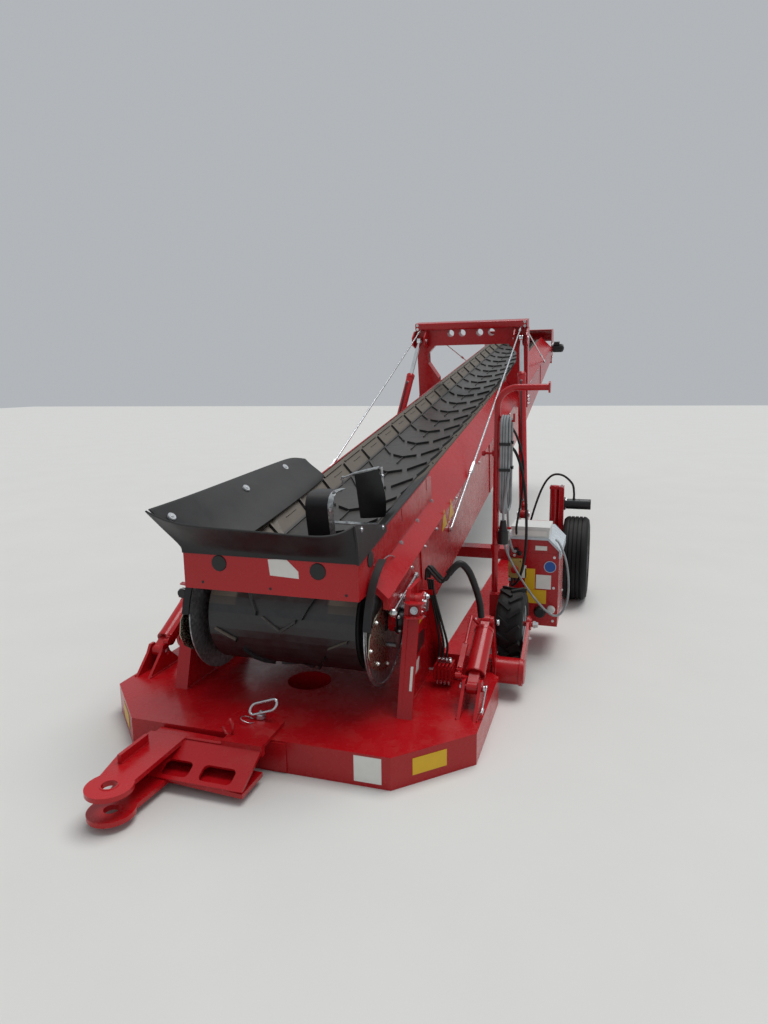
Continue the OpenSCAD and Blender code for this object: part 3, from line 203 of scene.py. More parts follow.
# Vulcanised rubber: matt black that greys where dust sits and where it has been rubbed; past wing_mm more dust lies
def rubber(name, dark, worn, wear_mm, wear_share, roughness, dust, dust_colour="#6d6257", sheen=0.3, wing_mm=0.0):
    made, tree, shader, coords = material(name, IOR=1.5, Specular_IOR_Level=sheen)
    patches = ramp(tree, noise(tree, coords, wear_mm, 9.0, 0.68), [(0.5 - wear_share / 2, 0.0), (0.8, 1.0)])
    colour = mix(tree, patches, linear(dark), linear(worn))
    spread = ramp(tree, noise(tree, coords, 90.0, 6.0), [(0.3, dust * 0.4), (0.7, dust)])
    film = maths(tree, "MULTIPLY", up_facing(tree, 0.2, 0.9), spread)
    if wing_mm:
        across = maths(tree, "ABSOLUTE", node(tree, "ShaderNodeSeparateXYZ", Vector=coords).outputs["X"])
        wing = fade(tree, across, wing_mm / 1000, (wing_mm + 14) / 1000)
        film = maths(tree, "MULTIPLY_ADD", maths(tree, "MULTIPLY", wing, up_facing(tree, 0.3, 0.6)), 0.42, film)
    tree.links.new(mix(tree, film, colour, linear(dust_colour)), shader.inputs["Base Color"])
    worn_rough = maths(tree, "MULTIPLY_ADD", patches, 0.2, roughness)
    tree.links.new(maths(tree, "MULTIPLY_ADD", film, 0.5, worn_rough), shader.inputs["Roughness"])
    set_bump(tree, shader, noise(tree, coords, 4.0, 6.0), 0.3)
    return made


# Moulded plastic: even colour with a fine spark-eroded grain
def plastic(name, hex_colour, roughness=0.42):
    made, tree, shader, coords = material(name, roughness, IOR=1.46)
    body = mix(tree, noise(tree, coords, 40.0), linear(hex_colour), [c * 0.86 for c in linear(hex_colour)[:3]] + [1.0])
    tree.links.new(body, shader.inputs["Base Color"])
    set_bump(tree, shader, noise(tree, coords, 1.2, 2.0), 0.05)
    return made


RED = enamel("red_enamel", "#b30f18", "#a00c14")
SILVER = enamel("silver_rim_enamel", "#c3c6c8", "#b1b5b8", 0.15)
PALE = enamel("pale_grey_enamel", "#c4ccd1", "#b3bcc2")
GALVANISED = galvanised()
# Bright zinc plating on turned bars and bolts, and zinc passivated to a dull straw colour
ZINC = varied("zinc_plated_steel", (25.0, "#b9bcc0", "#d3d5d6"), (12.0, 0.2, 0.36), Metallic=1.0)
PASSIVATED = varied("yellow_passivated_zinc", (25.0, "#a39f8c", "#bab6a3"), (12.0, 0.2, 0.36), Metallic=1.0)
# Hard chrome on ground piston rods: a clear mirror
CHROME = varied("hard_chrome", (80.0, "#d9dcde", "#eceeef"), (6.0, 0.08, 0.16), Metallic=1.0)
# Black paint on cast motor housings: satin, grainy where the sand mould shows through
BLACK = varied("black_painted_castings", (60.0, "#101113", "#1e2022", 0.8), (8.0, 0.32, 0.48), (2.5, 4.0, 0.25),
               IOR=1.5)
# Grey PVC sheath of a supply cable, satin and a little dirty
SHEATH = varied("grey_pvc_sheath", (50.0, "#7d8183", "#989b9c", 0.7, 6.0), (15.0, 0.4, 0.55), (2.0, 2.0, 0.05),
                IOR=1.5)
BELT_RUBBER = rubber("belt_rubber", "#17181a", "#2a2b2d", 55.0, 0.2, 0.3, 0.16, "#7a6d5c", 0.6, 226.0)
DRUM_RUBBER = rubber("drum_rubber", "#131314", "#242322", 40.0, 0.2, 0.55, 0.1, sheen=0.25)
SHEET = rubber("sheet_rubber", "#141416", "#232426", 120.0, 0.12, 0.42, 0.1, "#77716a", 0.42)
TYRE = rubber("tyre_rubber", "#111213", "#202122", 70.0, 0.15, 0.6, 0.1, sheen=0.28)
BEIGE = plastic("beige_box_plastic", "#b3a05a")
WHITE_PLASTIC = plastic("pale_box_plastic", "#d5d6d2")
BLACK_PLASTIC = plastic("black_moulded_plastic", "#17181a", 0.38)
RED_PLASTIC = plastic("red_moulded_plastic", "#c01a1c", 0.3)
LABEL_WHITE = plastic("white_vinyl_label", "#e6e5df", 0.35)
LABEL_YELLOW = plastic("yellow_vinyl_label", "#e0b21c", 0.35)
LABEL_BLUE = plastic("blue_vinyl_label", "#1f56a8", 0.35)
HOSE = rubber("hydraulic_hose_rubber", "#161617", "#2a2a2b", 60.0, 0.1, 0.45, 0.12)


def square_pair(axis):
    """Two directions square to an axis and to each other."""
    u = axis.orthogonal().normalized()
    return u, axis.cross(u)


def round_rings(at, axis, profile, sides):
    """Rings about an axis at (distance along it, radius) pairs in millimetres."""
    at, axis = Vector(at), Vector(axis).normalized()
    u, v = square_pair(axis)
    turns = [2 * math.pi * k / sides for k in range(sides)]
    return [[at + axis * d / 1000 + (u * math.cos(t) + v * math.sin(t)) * r / 1000 for t in turns] for d, r in profile]


class Parts:
    """Gathers bars, plates, turned pieces and tubes of one finish into one mesh."""

    def __init__(self):
        self.mesh = bmesh.new()

    def skin(self, rings, closed=False):
        """Faces between rings with the same count of points; a closed skin joins its last ring to its first."""
        rows = [[self.mesh.verts.new(p) for p in ring] for ring in rings]
        for first, second in zip(rows, rows[1:] + (rows[:1] if closed else [])):
            for k in range(len(first)):
                after = (k + 1) % len(first)
                self.mesh.faces.new((first[k], first[after], second[after], second[k]))
        return rows

    def loft(self, rings):
        """A skin through rings, with a face at each end."""
        rows = self.skin(rings)
        self.mesh.faces.new(rows[0][::-1])
        self.mesh.faces.new(rows[-1])

    def plate(self, outline, thickness):
        """A flat plate: outline points and a vector through its thickness."""
        outline = [Vector(p) for p in outline]
        self.loft([outline, [p + Vector(thickness) for p in outline]])

    def block(self, low, high, turned=None):
        """A box between two corners, in metres, or in the boom's frame and millimetres when turned."""
        place = turned or (lambda *point: Vector(point))
        corners = [(low[0], low[1]), (high[0], low[1]), (high[0], high[1]), (low[0], high[1])]
        self.loft([[place(x, y, z) for x, y in corners] for z in (low[2], high[2])])

    def turned(self, at, axis, profile, sides=24):
        """A turned piece: profile is (distance along the axis, radius) in millimetres."""
        self.loft(round_rings(at, axis, profile, sides))

    def sleeve(self, at, axis, profile, sides=32):
        """A turned piece with a bore: the profile runs round its wall and closes on itself."""
        self.skin(round_rings(at, axis, profile, sides), closed=True)

    def bar(self, start, end, radius_mm, sides=20):
        start, end = Vector(start), Vector(end)
        length = (end - start).length * 1000
        edge = min(1.0, radius_mm * 0.3)
        self.turned(start, end - start, [(0, radius_mm - edge), (edge, radius_mm), (length - edge, radius_mm),
                                         (length, radius_mm - edge)], sides)

    def tube(self, points, radius_mm, sides=10):
        """A round tube along a line of points."""
        points = [Vector(p) for p in points]
        u = square_pair((points[1] - points[0]).normalized())[0]
        rings = []
        for i, at in enumerate(points):
            way = (points[min(i + 1, len(points) - 1)] - points[max(i - 1, 0)]).normalized()
            u = (u - way * u.dot(way)).normalized()
            v = way.cross(u)
            rings.append([at + (u * math.cos(t) + v * math.sin(t)) * radius_mm / 1000
                          for t in (2 * math.pi * k / sides for k in range(sides))])
        self.loft(rings)

    def ring(self, centre, axis, radius_mm, wire_mm, start=0.0, sweep=360.0, steps=28):
        """A bent round bar: part or all of a circle about an axis."""
        u, v = square_pair(Vector(axis).normalized())
        count = max(4, int(steps * sweep / 360.0))
        turns = [math.radians(start + sweep * k / count) for k in range(count + 1)]
        points = [Vector(centre) + (u * math.cos(t) + v * math.sin(t)) * radius_mm / 1000 for t in turns]
        if sweep >= 360.0:
            points = points[:-1] + [points[0] + (points[1] - points[0]) * 0.02]
        self.tube(points, wire_mm)

    def done(self, name, finish, body, bevel_mm=0.0):
        if bevel_mm:
            sharp = [e for e in self.mesh.edges if len(e.link_faces) == 2 and e.calc_face_angle(0.0) > 0.9]
            bmesh.ops.bevel(self.mesh, geom=sharp, offset=bevel_mm / 1000, segments=2, affect="EDGES",
                            clamp_overlap=True)
        bmesh.ops.recalc_face_normals(self.mesh, faces=self.mesh.faces)
        data = bpy.data.meshes.new(name)
        self.mesh.to_mesh(data)
        self.mesh.free()
        return finished(name, data, finish, body)


def linked(name, data):
    """An object for some data, placed in the scene."""
    made = bpy.data.objects.new(name, data)
    bpy.context.scene.collection.objects.link(made)
    return made


def finished(name, data, finish, body):
    """Smooths and paints a mesh and lets it ride on its body; a hose that runs between two bodies names none and is
    left unparented.
    """
    data.polygons.foreach_set("use_smooth", [True] * len(data.polygons))
    data.set_sharp_from_angle(angle=math.radians(38.0))
    data.materials.clear()
    data.materials.append(finish)
    made = linked(name, data)
    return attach(made, body) if body else made


def make_camera():
    data = bpy.data.cameras.new("camera")
    data.sensor_fit = "AUTO"
    data.sensor_width = SENSOR_MM
    data.lens = FOCAL_PX * SENSOR_MM / LONG_SIDE_PX
    camera = linked("camera", data)
    yaw, pitch, roll = (math.radians(a) for a in (CAMERA_YAW, CAMERA_PITCH, CAMERA_ROLL))
    forward = Vector((-math.sin(yaw) * math.cos(pitch), math.cos(yaw) * math.cos(pitch), -math.sin(pitch)))
    level = Vector((math.cos(yaw), math.sin(yaw), 0.0))
    above = level.cross(forward)
    right = level * math.cos(roll) + above * math.sin(roll)
    up = above * math.cos(roll) - level * math.sin(roll)
    turn = Matrix((right, up, -forward)).transposed()
    camera.matrix_world = Matrix.Translation(CAMERA_AT) @ turn.to_4x4()
    bpy.context.scene.camera = camera


make_camera()


# Supply cable, in millimetres, as part.scad has it: from the gland into seven turns on the hook and down to the plug
CABLE_MM = 14.0
HANK_X = 866.0
HANK_Y = 800.0
HANK_Z = (971.3, 1384.3)
HANK_R = (63.0, 49.0)
PLUG_Y = 722.7
# Ends and handles of the curve that the cable leaves the gland in
GLAND_CURVE = [Vector(p) for p in ((900.0, 1015.7, 640.0), (900.0, 925.7, 640.0), (866.0, 877.3, 700.0),
                                   (866.0, 877.3, 1010.0))]


def hank_turn(radius, from_x, to_x, next_radius, top_only=False):
    """One turn of the hank: up the rear limb, over the hook, down the front limb and round the bottom."""
    low, high = HANK_Z
    steps = 8
    bends = [(math.pi * k / steps, k / steps) for k in range(steps + 1)]
    points = [(from_x, HANK_Y + radius, low + (high - low) * t) for t in (0.3, 0.55, 0.8)]
    points += [(from_x, HANK_Y + radius * math.cos(t), high + radius * math.sin(t)) for t, _ in bends]
    points += [(from_x, HANK_Y - radius, low + (high - low) * t) for t in (0.8, 0.55, 0.3)]
    if top_only:
        return points
    for t, share in bends:
        r = radius + (next_radius - radius) * share
        points.append((from_x + (to_x - from_x) * share, HANK_Y - r * math.cos(t), low - r * math.sin(t)))
    return points


def supply_cable_route():
    a, b, c, d = GLAND_CURVE
    steps = 14
    points = [a * (1 - t) ** 3 + b * 3 * t * (1 - t) ** 2 + c * 3 * t * t * (1 - t) + d * t ** 3
              for t in (k / steps for k in range(steps + 1))]
    points += [(870.0, 871.0, 1060.0)]
    lanes = [HANK_X + offset for offset in (-21.0, -7.0, 7.0, 21.0)]
    outer, inner = HANK_R
    for radius, lane, following, next_radius in ((outer, 2, 1, outer), (outer, 1, 0, outer), (outer, 0, 0, inner),
                                                 (inner, 0, 1, inner), (inner, 1, 2, inner), (inner, 2, 3, inner)):
        points += hank_turn(radius, lanes[lane], lanes[following], next_radius)
    last = lanes[3]
    points += hank_turn(inner, last, last, inner, True)[:-1]
    points += [(last, 744.0, 1150.0), (last, 729.0, 1110.0), (last - 2, PLUG_Y, 1070.0), (last - 12, PLUG_Y, 1020.0),
               (868.0, PLUG_Y, 965.0), (HANK_X, PLUG_Y, 920.0), (HANK_X, PLUG_Y, 880.3)]
    return [Vector(p) / 1000 for p in points]


def supply_cable():
    route = supply_cable_route()
    parts = Parts()
    parts.tube(route, CABLE_MM / 2, 12)
    cable = parts.done("supply_cable_run", SHEATH, "chassis")
    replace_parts(cable, "supply_cable_hank", "supply_cable")
    ties = Parts()
    x_half, y_half, wide, thick = 31, 18, 16, 2.5
    for z in (1150.0, 1290.0):
        for y in (HANK_Y - 56.0, HANK_Y + 56.0):
            low = mm(HANK_X - x_half, y - y_half, z)
            high = mm(HANK_X + x_half, y + y_half, z + wide)
            ties.block(low, mm(HANK_X - x_half + thick, y + y_half, z + wide))
            ties.block(mm(HANK_X + x_half - thick, y - y_half, z), high)
            ties.block(low, mm(HANK_X + x_half, y - y_half + thick, z + wide))
            ties.block(mm(HANK_X - x_half, y + y_half - thick, z), high)
    ties.done("hank_ties", BLACK_PLASTIC, "chassis")


supply_cable()


def settled(obj):
    """The evaluated mesh of an object, whose modifiers are then gone."""
    depsgraph = bpy.context.evaluated_depsgraph_get()
    data = bpy.data.meshes.new_from_object(obj.evaluated_get(depsgraph))
    bpy.data.objects.remove(obj)
    return data


def bolt_tree():
    """Hex heads with a stud end and a washer, one at each point, turned along the point's facing attribute."""
    tree = bpy.data.node_groups.new("hex_bolts", "GeometryNodeTree")
    tree.interface.new_socket("Points", in_out="INPUT", socket_type="NodeSocketGeometry")
    for name in ("Head", "Height", "Washer"):
        tree.interface.new_socket(name, in_out="INPUT", socket_type="NodeSocketFloat")
    tree.interface.new_socket("Finish", in_out="INPUT", socket_type="NodeSocketMaterial")
    tree.interface.new_socket("Bolts", in_out="OUTPUT", socket_type="NodeSocketGeometry")
    given = node(tree, "NodeGroupInput").outputs

    def share(name, factor):
        return maths(tree, "MULTIPLY", given[name], factor)

    def disc(sides, radius, depth, base):
        made = node(tree, "GeometryNodeMeshCylinder", Vertices=sides, Radius=radius, Depth=depth).outputs["Mesh"]
        lift = node(tree, "ShaderNodeCombineXYZ", Z=base).outputs["Vector"]
        return node(tree, "GeometryNodeTransform", Geometry=made, Translation=lift).outputs["Geometry"]

    washer = disc(20, given["Washer"], share("Height", 0.3), share("Height", 0.1))
    head = disc(6, given["Head"], given["Height"], share("Height", 0.65))
    stud = disc(12, share("Head", 0.5), share("Height", 0.5), share("Height", 1.25))
    whole = tree.nodes.new("GeometryNodeJoinGeometry")
    for part in (washer, head, stud):
        tree.links.new(part, whole.inputs["Geometry"])
    facing = node(tree, "GeometryNodeInputNamedAttribute", {"data_type": "FLOAT_VECTOR"}, Name="facing")
    turn = node(tree, "FunctionNodeAlignRotationToVector", {"axis": "Z"}, Vector=facing.outputs["Attribute"])
    placed = node(tree, "GeometryNodeInstanceOnPoints", Points=given["Points"], Instance=whole.outputs["Geometry"],
                  Rotation=turn.outputs["Rotation"])
    real = node(tree, "GeometryNodeRealizeInstances", Geometry=placed.outputs["Instances"])
    painted = node(tree, "GeometryNodeSetMaterial", Geometry=real.outputs["Geometry"], Material=given["Finish"])
    node(tree, "NodeGroupOutput", i0=painted.outputs["Geometry"])
    return tree


BOLT_TREE = bolt_tree()


def bolts(name, places, body, head_mm=8.0, height_mm=7.0, washer_mm=12.0):
    """Zinc-plated hex bolts at (point, facing) pairs."""
    data = bpy.data.meshes.new(name + "_points")
    data.from_pydata([tuple(at) for at, _ in places], [], [])
    facing = data.attributes.new("facing", "FLOAT_VECTOR", "POINT")
    facing.data.foreach_set("vector", [c for _, way in places for c in Vector(way).normalized()])
    obj = linked(name + "_points", data)
    modifier = obj.modifiers.new("bolts", "NODES")
    modifier.node_group = BOLT_TREE
    sizes = {"Head": head_mm / 1000, "Height": height_mm / 1000, "Washer": washer_mm / 1000, "Finish": ZINC}
    for socket in BOLT_TREE.interface.items_tree:
        if socket.name in sizes:
            modifier[socket.identifier] = sizes[socket.name]
    return finished(name, settled(obj), ZINC, body)


def rubber_sheet(name, rows, thick_mm, place=boom):
    """A smooth sheet of rubber through rows of points, with a rounded edge."""
    mesh = bmesh.new()
    grid = [[mesh.verts.new(place(*p)) for p in row] for row in rows]
    for first, second in zip(grid, grid[1:]):
        for k in range(len(first) - 1):
            mesh.faces.new((first[k], first[k + 1], second[k + 1], second[k]))
    data = bpy.data.meshes.new(name + "_grid")
    mesh.to_mesh(data)
    mesh.free()
    obj = linked(name + "_grid", data)
    smooth = obj.modifiers.new("smooth", "SUBSURF")
    smooth.levels = smooth.render_levels = 3
    smooth.boundary_smooth = "PRESERVE_CORNERS"
    wall = obj.modifiers.new("wall", "SOLIDIFY")
    wall.thickness = thick_mm / 1000
    wall.offset = 0.0
    edge = obj.modifiers.new("edge", "BEVEL")
    edge.width = thick_mm / 4000
    edge.segments = 2
    edge.limit_method = "ANGLE"
    data = settled(obj)
    mesh = bmesh.new()
    mesh.from_mesh(data)
    bmesh.ops.recalc_face_normals(mesh, faces=mesh.faces)
    mesh.to_mesh(data)
    mesh.free()
    return finished(name, data, SHEET, "boom")


# Hopper rubbers, as rows of points in the boom's frame, from the trough out to the free edge
HOPPER_SHEET_MM = 9.0
FLAP_LOW = [(345, -235, 362), (338, 0, 356), (322, 434, 352), (316, 757, 350), (310, 900, 346), (306, 1060, 342),
            (312, 1125, 346)]
FLAP_HEM = [(318, -235, 338), (306, 0, 330), (292, 434, 322), (290, 757, 320), (292, 900, 318), (296, 1060, 318),
            (304, 1125, 322)]
FLAP_TOP = [(552, -300, 612), (562, 0, 566), (549, 434, 521), (509, 852, 487), (494, 980, 476), (480, 1076, 464),
            (440, 1160, 430)]
SEAT_S = [-255, 0, 434, 757, 900, 1060, 1140]
SEAT_N = 421.0
STRIP_END = 970
APRON_FRONT = -409.5
APRON_RIM = [(-550, -490, 1090), (-420, -520, 1052), (-260, -530, 1040), (-110, -530, 1038), (140, -530, 1030),
             (300, -520, 1022), (380, -498, 1035), (424, -452, 1062)]
APRON_FOOT = [-424, -330, -210, -90, 120, 250, 340, 424]
APRON_RETURN = [(-419, 887), (-419, 902), (-431, 981), (-459, 1064), (-440, 1066), (-250, 1032), (-50, 990),
                (-32, 978), (-32, 955)]


def hopper_rubbers():
    low = [(x, s, n + 4) for x, s, n in FLAP_LOW]
    seat = [(414, s, SEAT_N) if s < 1100 else (398, s, SEAT_N - 16) for s in SEAT_S]
    top = [(x, s, n + 4) for x, s, n in FLAP_TOP]
    half = [tuple((a + b) / 2 + c for a, b, c in zip(p, q, (6, 0, 8))) for p, q in zip(seat, top)]
    hem = [(x, s, n + 10) for x, s, n in FLAP_HEM]
    left = rubber_sheet("left_hopper_flap", [hem, low, seat, half, top], HOPPER_SHEET_MM,
                        lambda x, s, n: boom(-x, s, n))
    right_rows = [[(x, min(s, STRIP_END), n) for x, s, n in low]]
    right_rows += [[(x, min(s, STRIP_END), n) for s in SEAT_S] for x, n in ((414, SEAT_N), (421, SEAT_N + 8))]
    right = rubber_sheet("right_hopper_strip", right_rows, HOPPER_SHEET_MM)
    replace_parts(left, "hopper_flaps")
    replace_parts(right, "hopper_flaps")
    rows = [[(x, y, z) for x in APRON_FOOT]
            for y, z in ((APRON_FRONT, 889), (APRON_FRONT, 902), (APRON_FRONT - 4, 922))]
    rows.append([((a + x) / 2, (APRON_FRONT + y) / 2 + 10, (900 + z) / 2)
                 for a, (x, y, z) in zip(APRON_FOOT, APRON_RIM)])
    rows.append([(x, y + 5, z) for x, y, z in APRON_RIM])
    apron = rubber_sheet("front_apron", rows, HOPPER_SHEET_MM, mm)
    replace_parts(apron, "hopper_skirt")
    side = Parts()
    side.plate([mm(425, y, z) for y, z in APRON_RETURN], ACROSS * HOPPER_SHEET_MM / 1000)
    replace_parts(side.done("apron_return", SHEET, "boom", 2.0), "hopper_skirt")


# Belt: the loop of part.scad, for its fold beads and the thin ribs between its cleats
BELT_LENGTH, HEAD_R, TAIL_R = 8330.0, 110.0, 253.0
# Half widths of its flat middle and of the whole belt laid flat, and where the edge of a raised wing is
MIDDLE, FLAT = 220.0, 370.0
EDGE_X, EDGE_N = 330.0, 334.0
# Where the wings are fully raised, and where they start to lie down again
RAISED_FROM, RAISED_TO = 450.0, 7900.0
CLEAT_PITCH = 371.0
HEAD_WRAP = 340.0
LOOP_SLACK = 4.9


def belt_place(run, x, h):
    """A point over the belt's outer face, on the top strand or the return strand: run, x when laid flat, height."""
    side = -1 if x < 0 else 1
    x = abs(x)
    share = max(0.0, x - MIDDLE) / (FLAT - MIDDLE)
    if run > BELT_LENGTH:
        lean = 2 * math.atan((TAIL_R - HEAD_R) / BELT_LENGTH)
        foot = run - BELT_LENGTH
        s = BELT_LENGTH - foot * math.cos(lean)
        n = (TAIL_R - HEAD_R) - HEAD_R * math.cos(lean) - foot * math.sin(lean)
        return boom(side * x, s - h * math.sin(lean), n - h)
    raised = max(0.0, min(1.0, run / RAISED_FROM, (BELT_LENGTH - run) / (BELT_LENGTH - RAISED_TO)))
    rise = EDGE_N - TAIL_R
    lean = raised * math.atan2(rise, EDGE_X - MIDDLE) if share > 0 else 0.0
    reach = (FLAT - MIDDLE) * (1 - raised) + (EDGE_X - MIDDLE) * raised
    across = min(x, MIDDLE) + share * reach - h * math.sin(lean)
    return boom(side * across, run, TAIL_R + share * raised * rise + h * math.cos(lean))


def belt_ribs():
    """Thin ribs that the mould leaves between the cleats: a stem behind each point and a bar along each wing."""
    parts = Parts()
    loop = 2 * BELT_LENGTH + math.pi * (HEAD_R + TAIL_R) + LOOP_SLACK
    cleats = round(loop / CLEAT_PITCH)
    pitch = loop / cleats

    def rib(x, start, end, half_w, tall):
        if end > BELT_LENGTH - 5 and start < BELT_LENGTH + 330 or end > 2 * BELT_LENGTH + 300:
            return
        if start > BELT_LENGTH:
            start, end = start - HEAD_WRAP, end - HEAD_WRAP
        steps = 3
        section = ((-half_w, -3), (half_w, -3), (half_w * 0.6, tall), (-half_w * 0.6, tall))
        parts.loft([[belt_place(start + (end - start) * k / steps, x + dx, h) for dx, h in section]
                    for k in range(steps + 1)])

    for base in (k * pitch for k in range(cleats)):
        if base > 200:
            rib(0.0, base - 150, base - 12, 4.0, 10.0)
        for side in SIDES:
            rib(side * 343.0, base + 25, base + 325, 5.0, 10.0)
            rib(side * 300.0, base + 120, base + 250, 3.0, 5.0)
    parts.done("belt_ribs", BELT_RUBBER, "boom")


# Sizes and profiles shared by the trim, in millimetres; a profile is (distance along the axis, radius) pairs, and
# SHEET_WAY is how far the hopper's side sheets look outwards and upwards
LABEL_MM = 1.2
WELD_MM = 4.0
SHEET_WAY = (158.0, 155.0)
HOPPER_FRONT = -404.0
PLUG = [(0, 37), (3, 37), (5, 35), (5.5, 20), (5, 2)]
TURNBUCKLE = [(-30, 11), (-12, 11), (-10, 15), (110, 15), (112, 11), (130, 11)]
CUP_WASHER = [(-12, 20), (3, 21), (6, 18), (5, 9), (5, 8), (8, 7), (9, 3)]
POST_SIDE_X = 565.4
POST_FOOT_Z = 146.0
CABINET_FRONT = 1050.0
REAR_AXLE_Y, REAR_AXLE_Z = 2269, 311
REAR_WHEEL_X = 1192
LEG_MOTOR_Z = 720
ARM_AXLE_X, ARM_AXLE_Y, ARM_AXLE_Z = 929, 700, 305


def circle(count, radius, first_deg=0.0):
    """Pairs of offsets for bolts on a circle."""
    turns = [math.radians(360 * k / count + first_deg) for k in range(count)]
    return [(radius * math.cos(t), radius * math.sin(t)) for t in turns]


def pin_head(radius, height):
    """Profile of a pin's head with a small chamfer."""
    return [(-1, radius), (height, radius), (height + 2, radius - 3), (height + 2, 1)]


def sticker(parts, points, out):
    """A blank label: its outline and the way it faces."""
    parts.plate(points, Vector(out) * LABEL_MM / 1000)


def hopper_fittings():
    sheet_bolts = [(boom(side * 427.5, s, 254.5), boom_way(side * SHEET_WAY[0], 0, SHEET_WAY[1]))
                   for side in SIDES for s in (329, 644, 966)]
    fold_bolts = [(boom(side * 500, s, 160), boom_way(side, 0, 0)) for side in SIDES
                  for s in (247, 513, 768, 1300, 2100, 2900, 3700, 5400, 6200, 7000, 7800)]
    bolts("hopper_sheet_bolts", sheet_bolts + fold_bolts, "boom")
    caps = [(mm(434.5, y, z), ACROSS) for y, z in ((-380, 1035), (-90, 985))]
    bolts("rubber_clamp_bolts", caps, "boom", 7.0, 4.0, 13.0)
    cups = Parts()
    for s, x, n in ((-215, -497, 552), (434, -467, 478), (905, -455, 456)):
        cups.turned(boom(x, s, n), boom_way(0.72, 0, 0.69), CUP_WASHER, 32)
    cups.done("rubber_cup_washers", SILVER, "boom")
    plugs = Parts()
    for x, z in ((-240, 850), (240, 845)):
        plugs.turned(mm(x, HOPPER_FRONT, z), -ALONG, PLUG, 32)
    for side in (1, -1):
        plugs.turned(boom(side * 424, -130, 365), side * ACROSS, PLUG, 32)
    plugs.done("rubber_plugs", BLACK_PLASTIC, "boom")
    # Black discs on the hopper front at its three blind holes: painted shade standing in for the dark inside of each
    # hole
    hole_shade_discs = Parts()
    for x, z in ((10, 750), (368, 748), (-330, 756)):
        hole_shade_discs.turned(mm(x, HOPPER_FRONT, z), -ALONG, [(0, 6.5), (0.8, 6.5), (0.9, 1)], 16)
    hole_shade_discs.done("blind_holes_painted_shade", BLACK_PLASTIC, "boom")
    label = Parts()
    corners = ((4, 884), (92, 890), (148, 838), (150, 806), (12, 812))
    sticker(label, [mm(x, HOPPER_FRONT - 0.1, z) for x, z in corners], -ALONG)
    label.done("blank_white_label", LABEL_WHITE, "boom")
    lip = Parts()
    lip.bar(mm(-416, -400, 901), mm(416, -400, 901), 4.5, 12)
    for side in SIDES:
        lip.bar(boom(side * 420, -270, 418), boom(side * 420, 920, 418), 3.5, 12)
    lip.done("hopper_folded_edges", RED, "boom")


def tail_fittings():
    zinc, dark, covers, strip = Parts(), Parts(), Parts(), Parts()
    bearing = [(0, 62), (10, 62), (14, 58), (14, 44), (40, 40), (46, 34), (46, 12)]
    outline = [(-120, 640), (-230, 652), (-330, 622), (-398, 560), (-412, 490), (-384, 430), (-330, 392),
               (-250, 352), (-120, 330), (-150, 420), (-190, 485), (-190, 540), (-150, 600)]
    for side in SIDES:
        zinc.ring(boom(side * 437.5, 0, 0), boom_way(side, 0, 0), 300, 3.2, 0, 360, 60)
        dark.turned(boom(side * 492, 0, 0), side * ACROSS, bearing, 36)
        covers.plate([mm(side * 464, y, z) for y, z in outline], side * ACROSS * 0.004)
    zinc.bar(mm(514, 190, 690), mm(514, -196, 622), 7.0)
    zinc.turned(mm(514, -190, 623), (0, -1, -0.18), [(-4, 8), (2, 15), (10, 19), (18, 19), (26, 15), (32, 6)], 24)
    zinc.turned(mm(514, 182, 688), (0, 1, 0.18), [(-14, 11), (0, 11), (2, 14), (14, 14), (16, 9)], 6)
    zinc.done("tail_guard_rims", ZINC, "boom")
    dark.done("tail_bearings", BLACK, "boom", 1.0)
    covers.done("tail_cover_plates", PASSIVATED, "boom", 1.0)
    places = [(mm(side * 468, y, z), side * ACROSS) for side in SIDES
              for y, z in ((-150, 618), (-300, 600), (-385, 500), (-290, 405), (-150, 352))]
    bolts("tail_cover_bolts", places, "boom", 7.0, 5.0, 12.0)
    seats = [(boom(side * 506, s, n), boom_way(side, 0, 0)) for side in SIDES for s, n in circle(4, 50, 45)]
    bolts("tail_bearing_bolts", seats, "boom", 8.0, 7.0, 11.0)
    first_deg, sweep_deg, steps = 96, 66, 12
    for side in SIDES:
        turns = [math.radians(first_deg + sweep_deg * k / steps) for k in range(steps + 1)]
        strip.loft([[boom(side * x, r * math.cos(t), r * math.sin(t))
                     for x, r in ((431, 319), (466, 321), (466, 328), (431, 327))] for t in turns])
    strip.done("tail_edge_rubbers", SHEET, "boom", 1.5)


# Guides over the belt: profile of the hood as (s, n), and the rows of the hanging strip as (x, s, n)
GUIDE_MM = 10.0
HOOD_PROFILE = [(318, 262), (314, 340), (312, 400), (318, 448), (340, 474), (372, 484), (430, 478), (505, 462)]
HOOD_X = (-72, 0, 66)
STRIP_ROWS = [[(196, 392, 352), (236, 404, 349), (278, 424, 347), (318, 444, 346)],
              [(192, 390, 440), (240, 404, 440), (290, 424, 440), (326, 446, 432)],
              [(188, 388, 530), (236, 402, 530), (282, 424, 530), (316, 446, 520)],
              [(184, 386, 588), (226, 400, 594), (266, 422, 600), (292, 444, 602)]]
STRAP_WAY = [(100, 402, 556), (140, 392, 572), (184, 384, 592), (226, 398, 600), (266, 420, 606), (294, 446, 606)]
# Flat bars and angles below and beside the guides, from corner to corner
GUIDE_BARS = [((60, 322, 339.5), (344, 352, 345.5)), ((60, 318, 290), (66, 348, 345)),
              ((298, 452, 339.5), (344, 492, 345.5)), ((300, 452, 345), (306, 482, 604)),
              ((112, 384, 530), (120, 404, 574))]


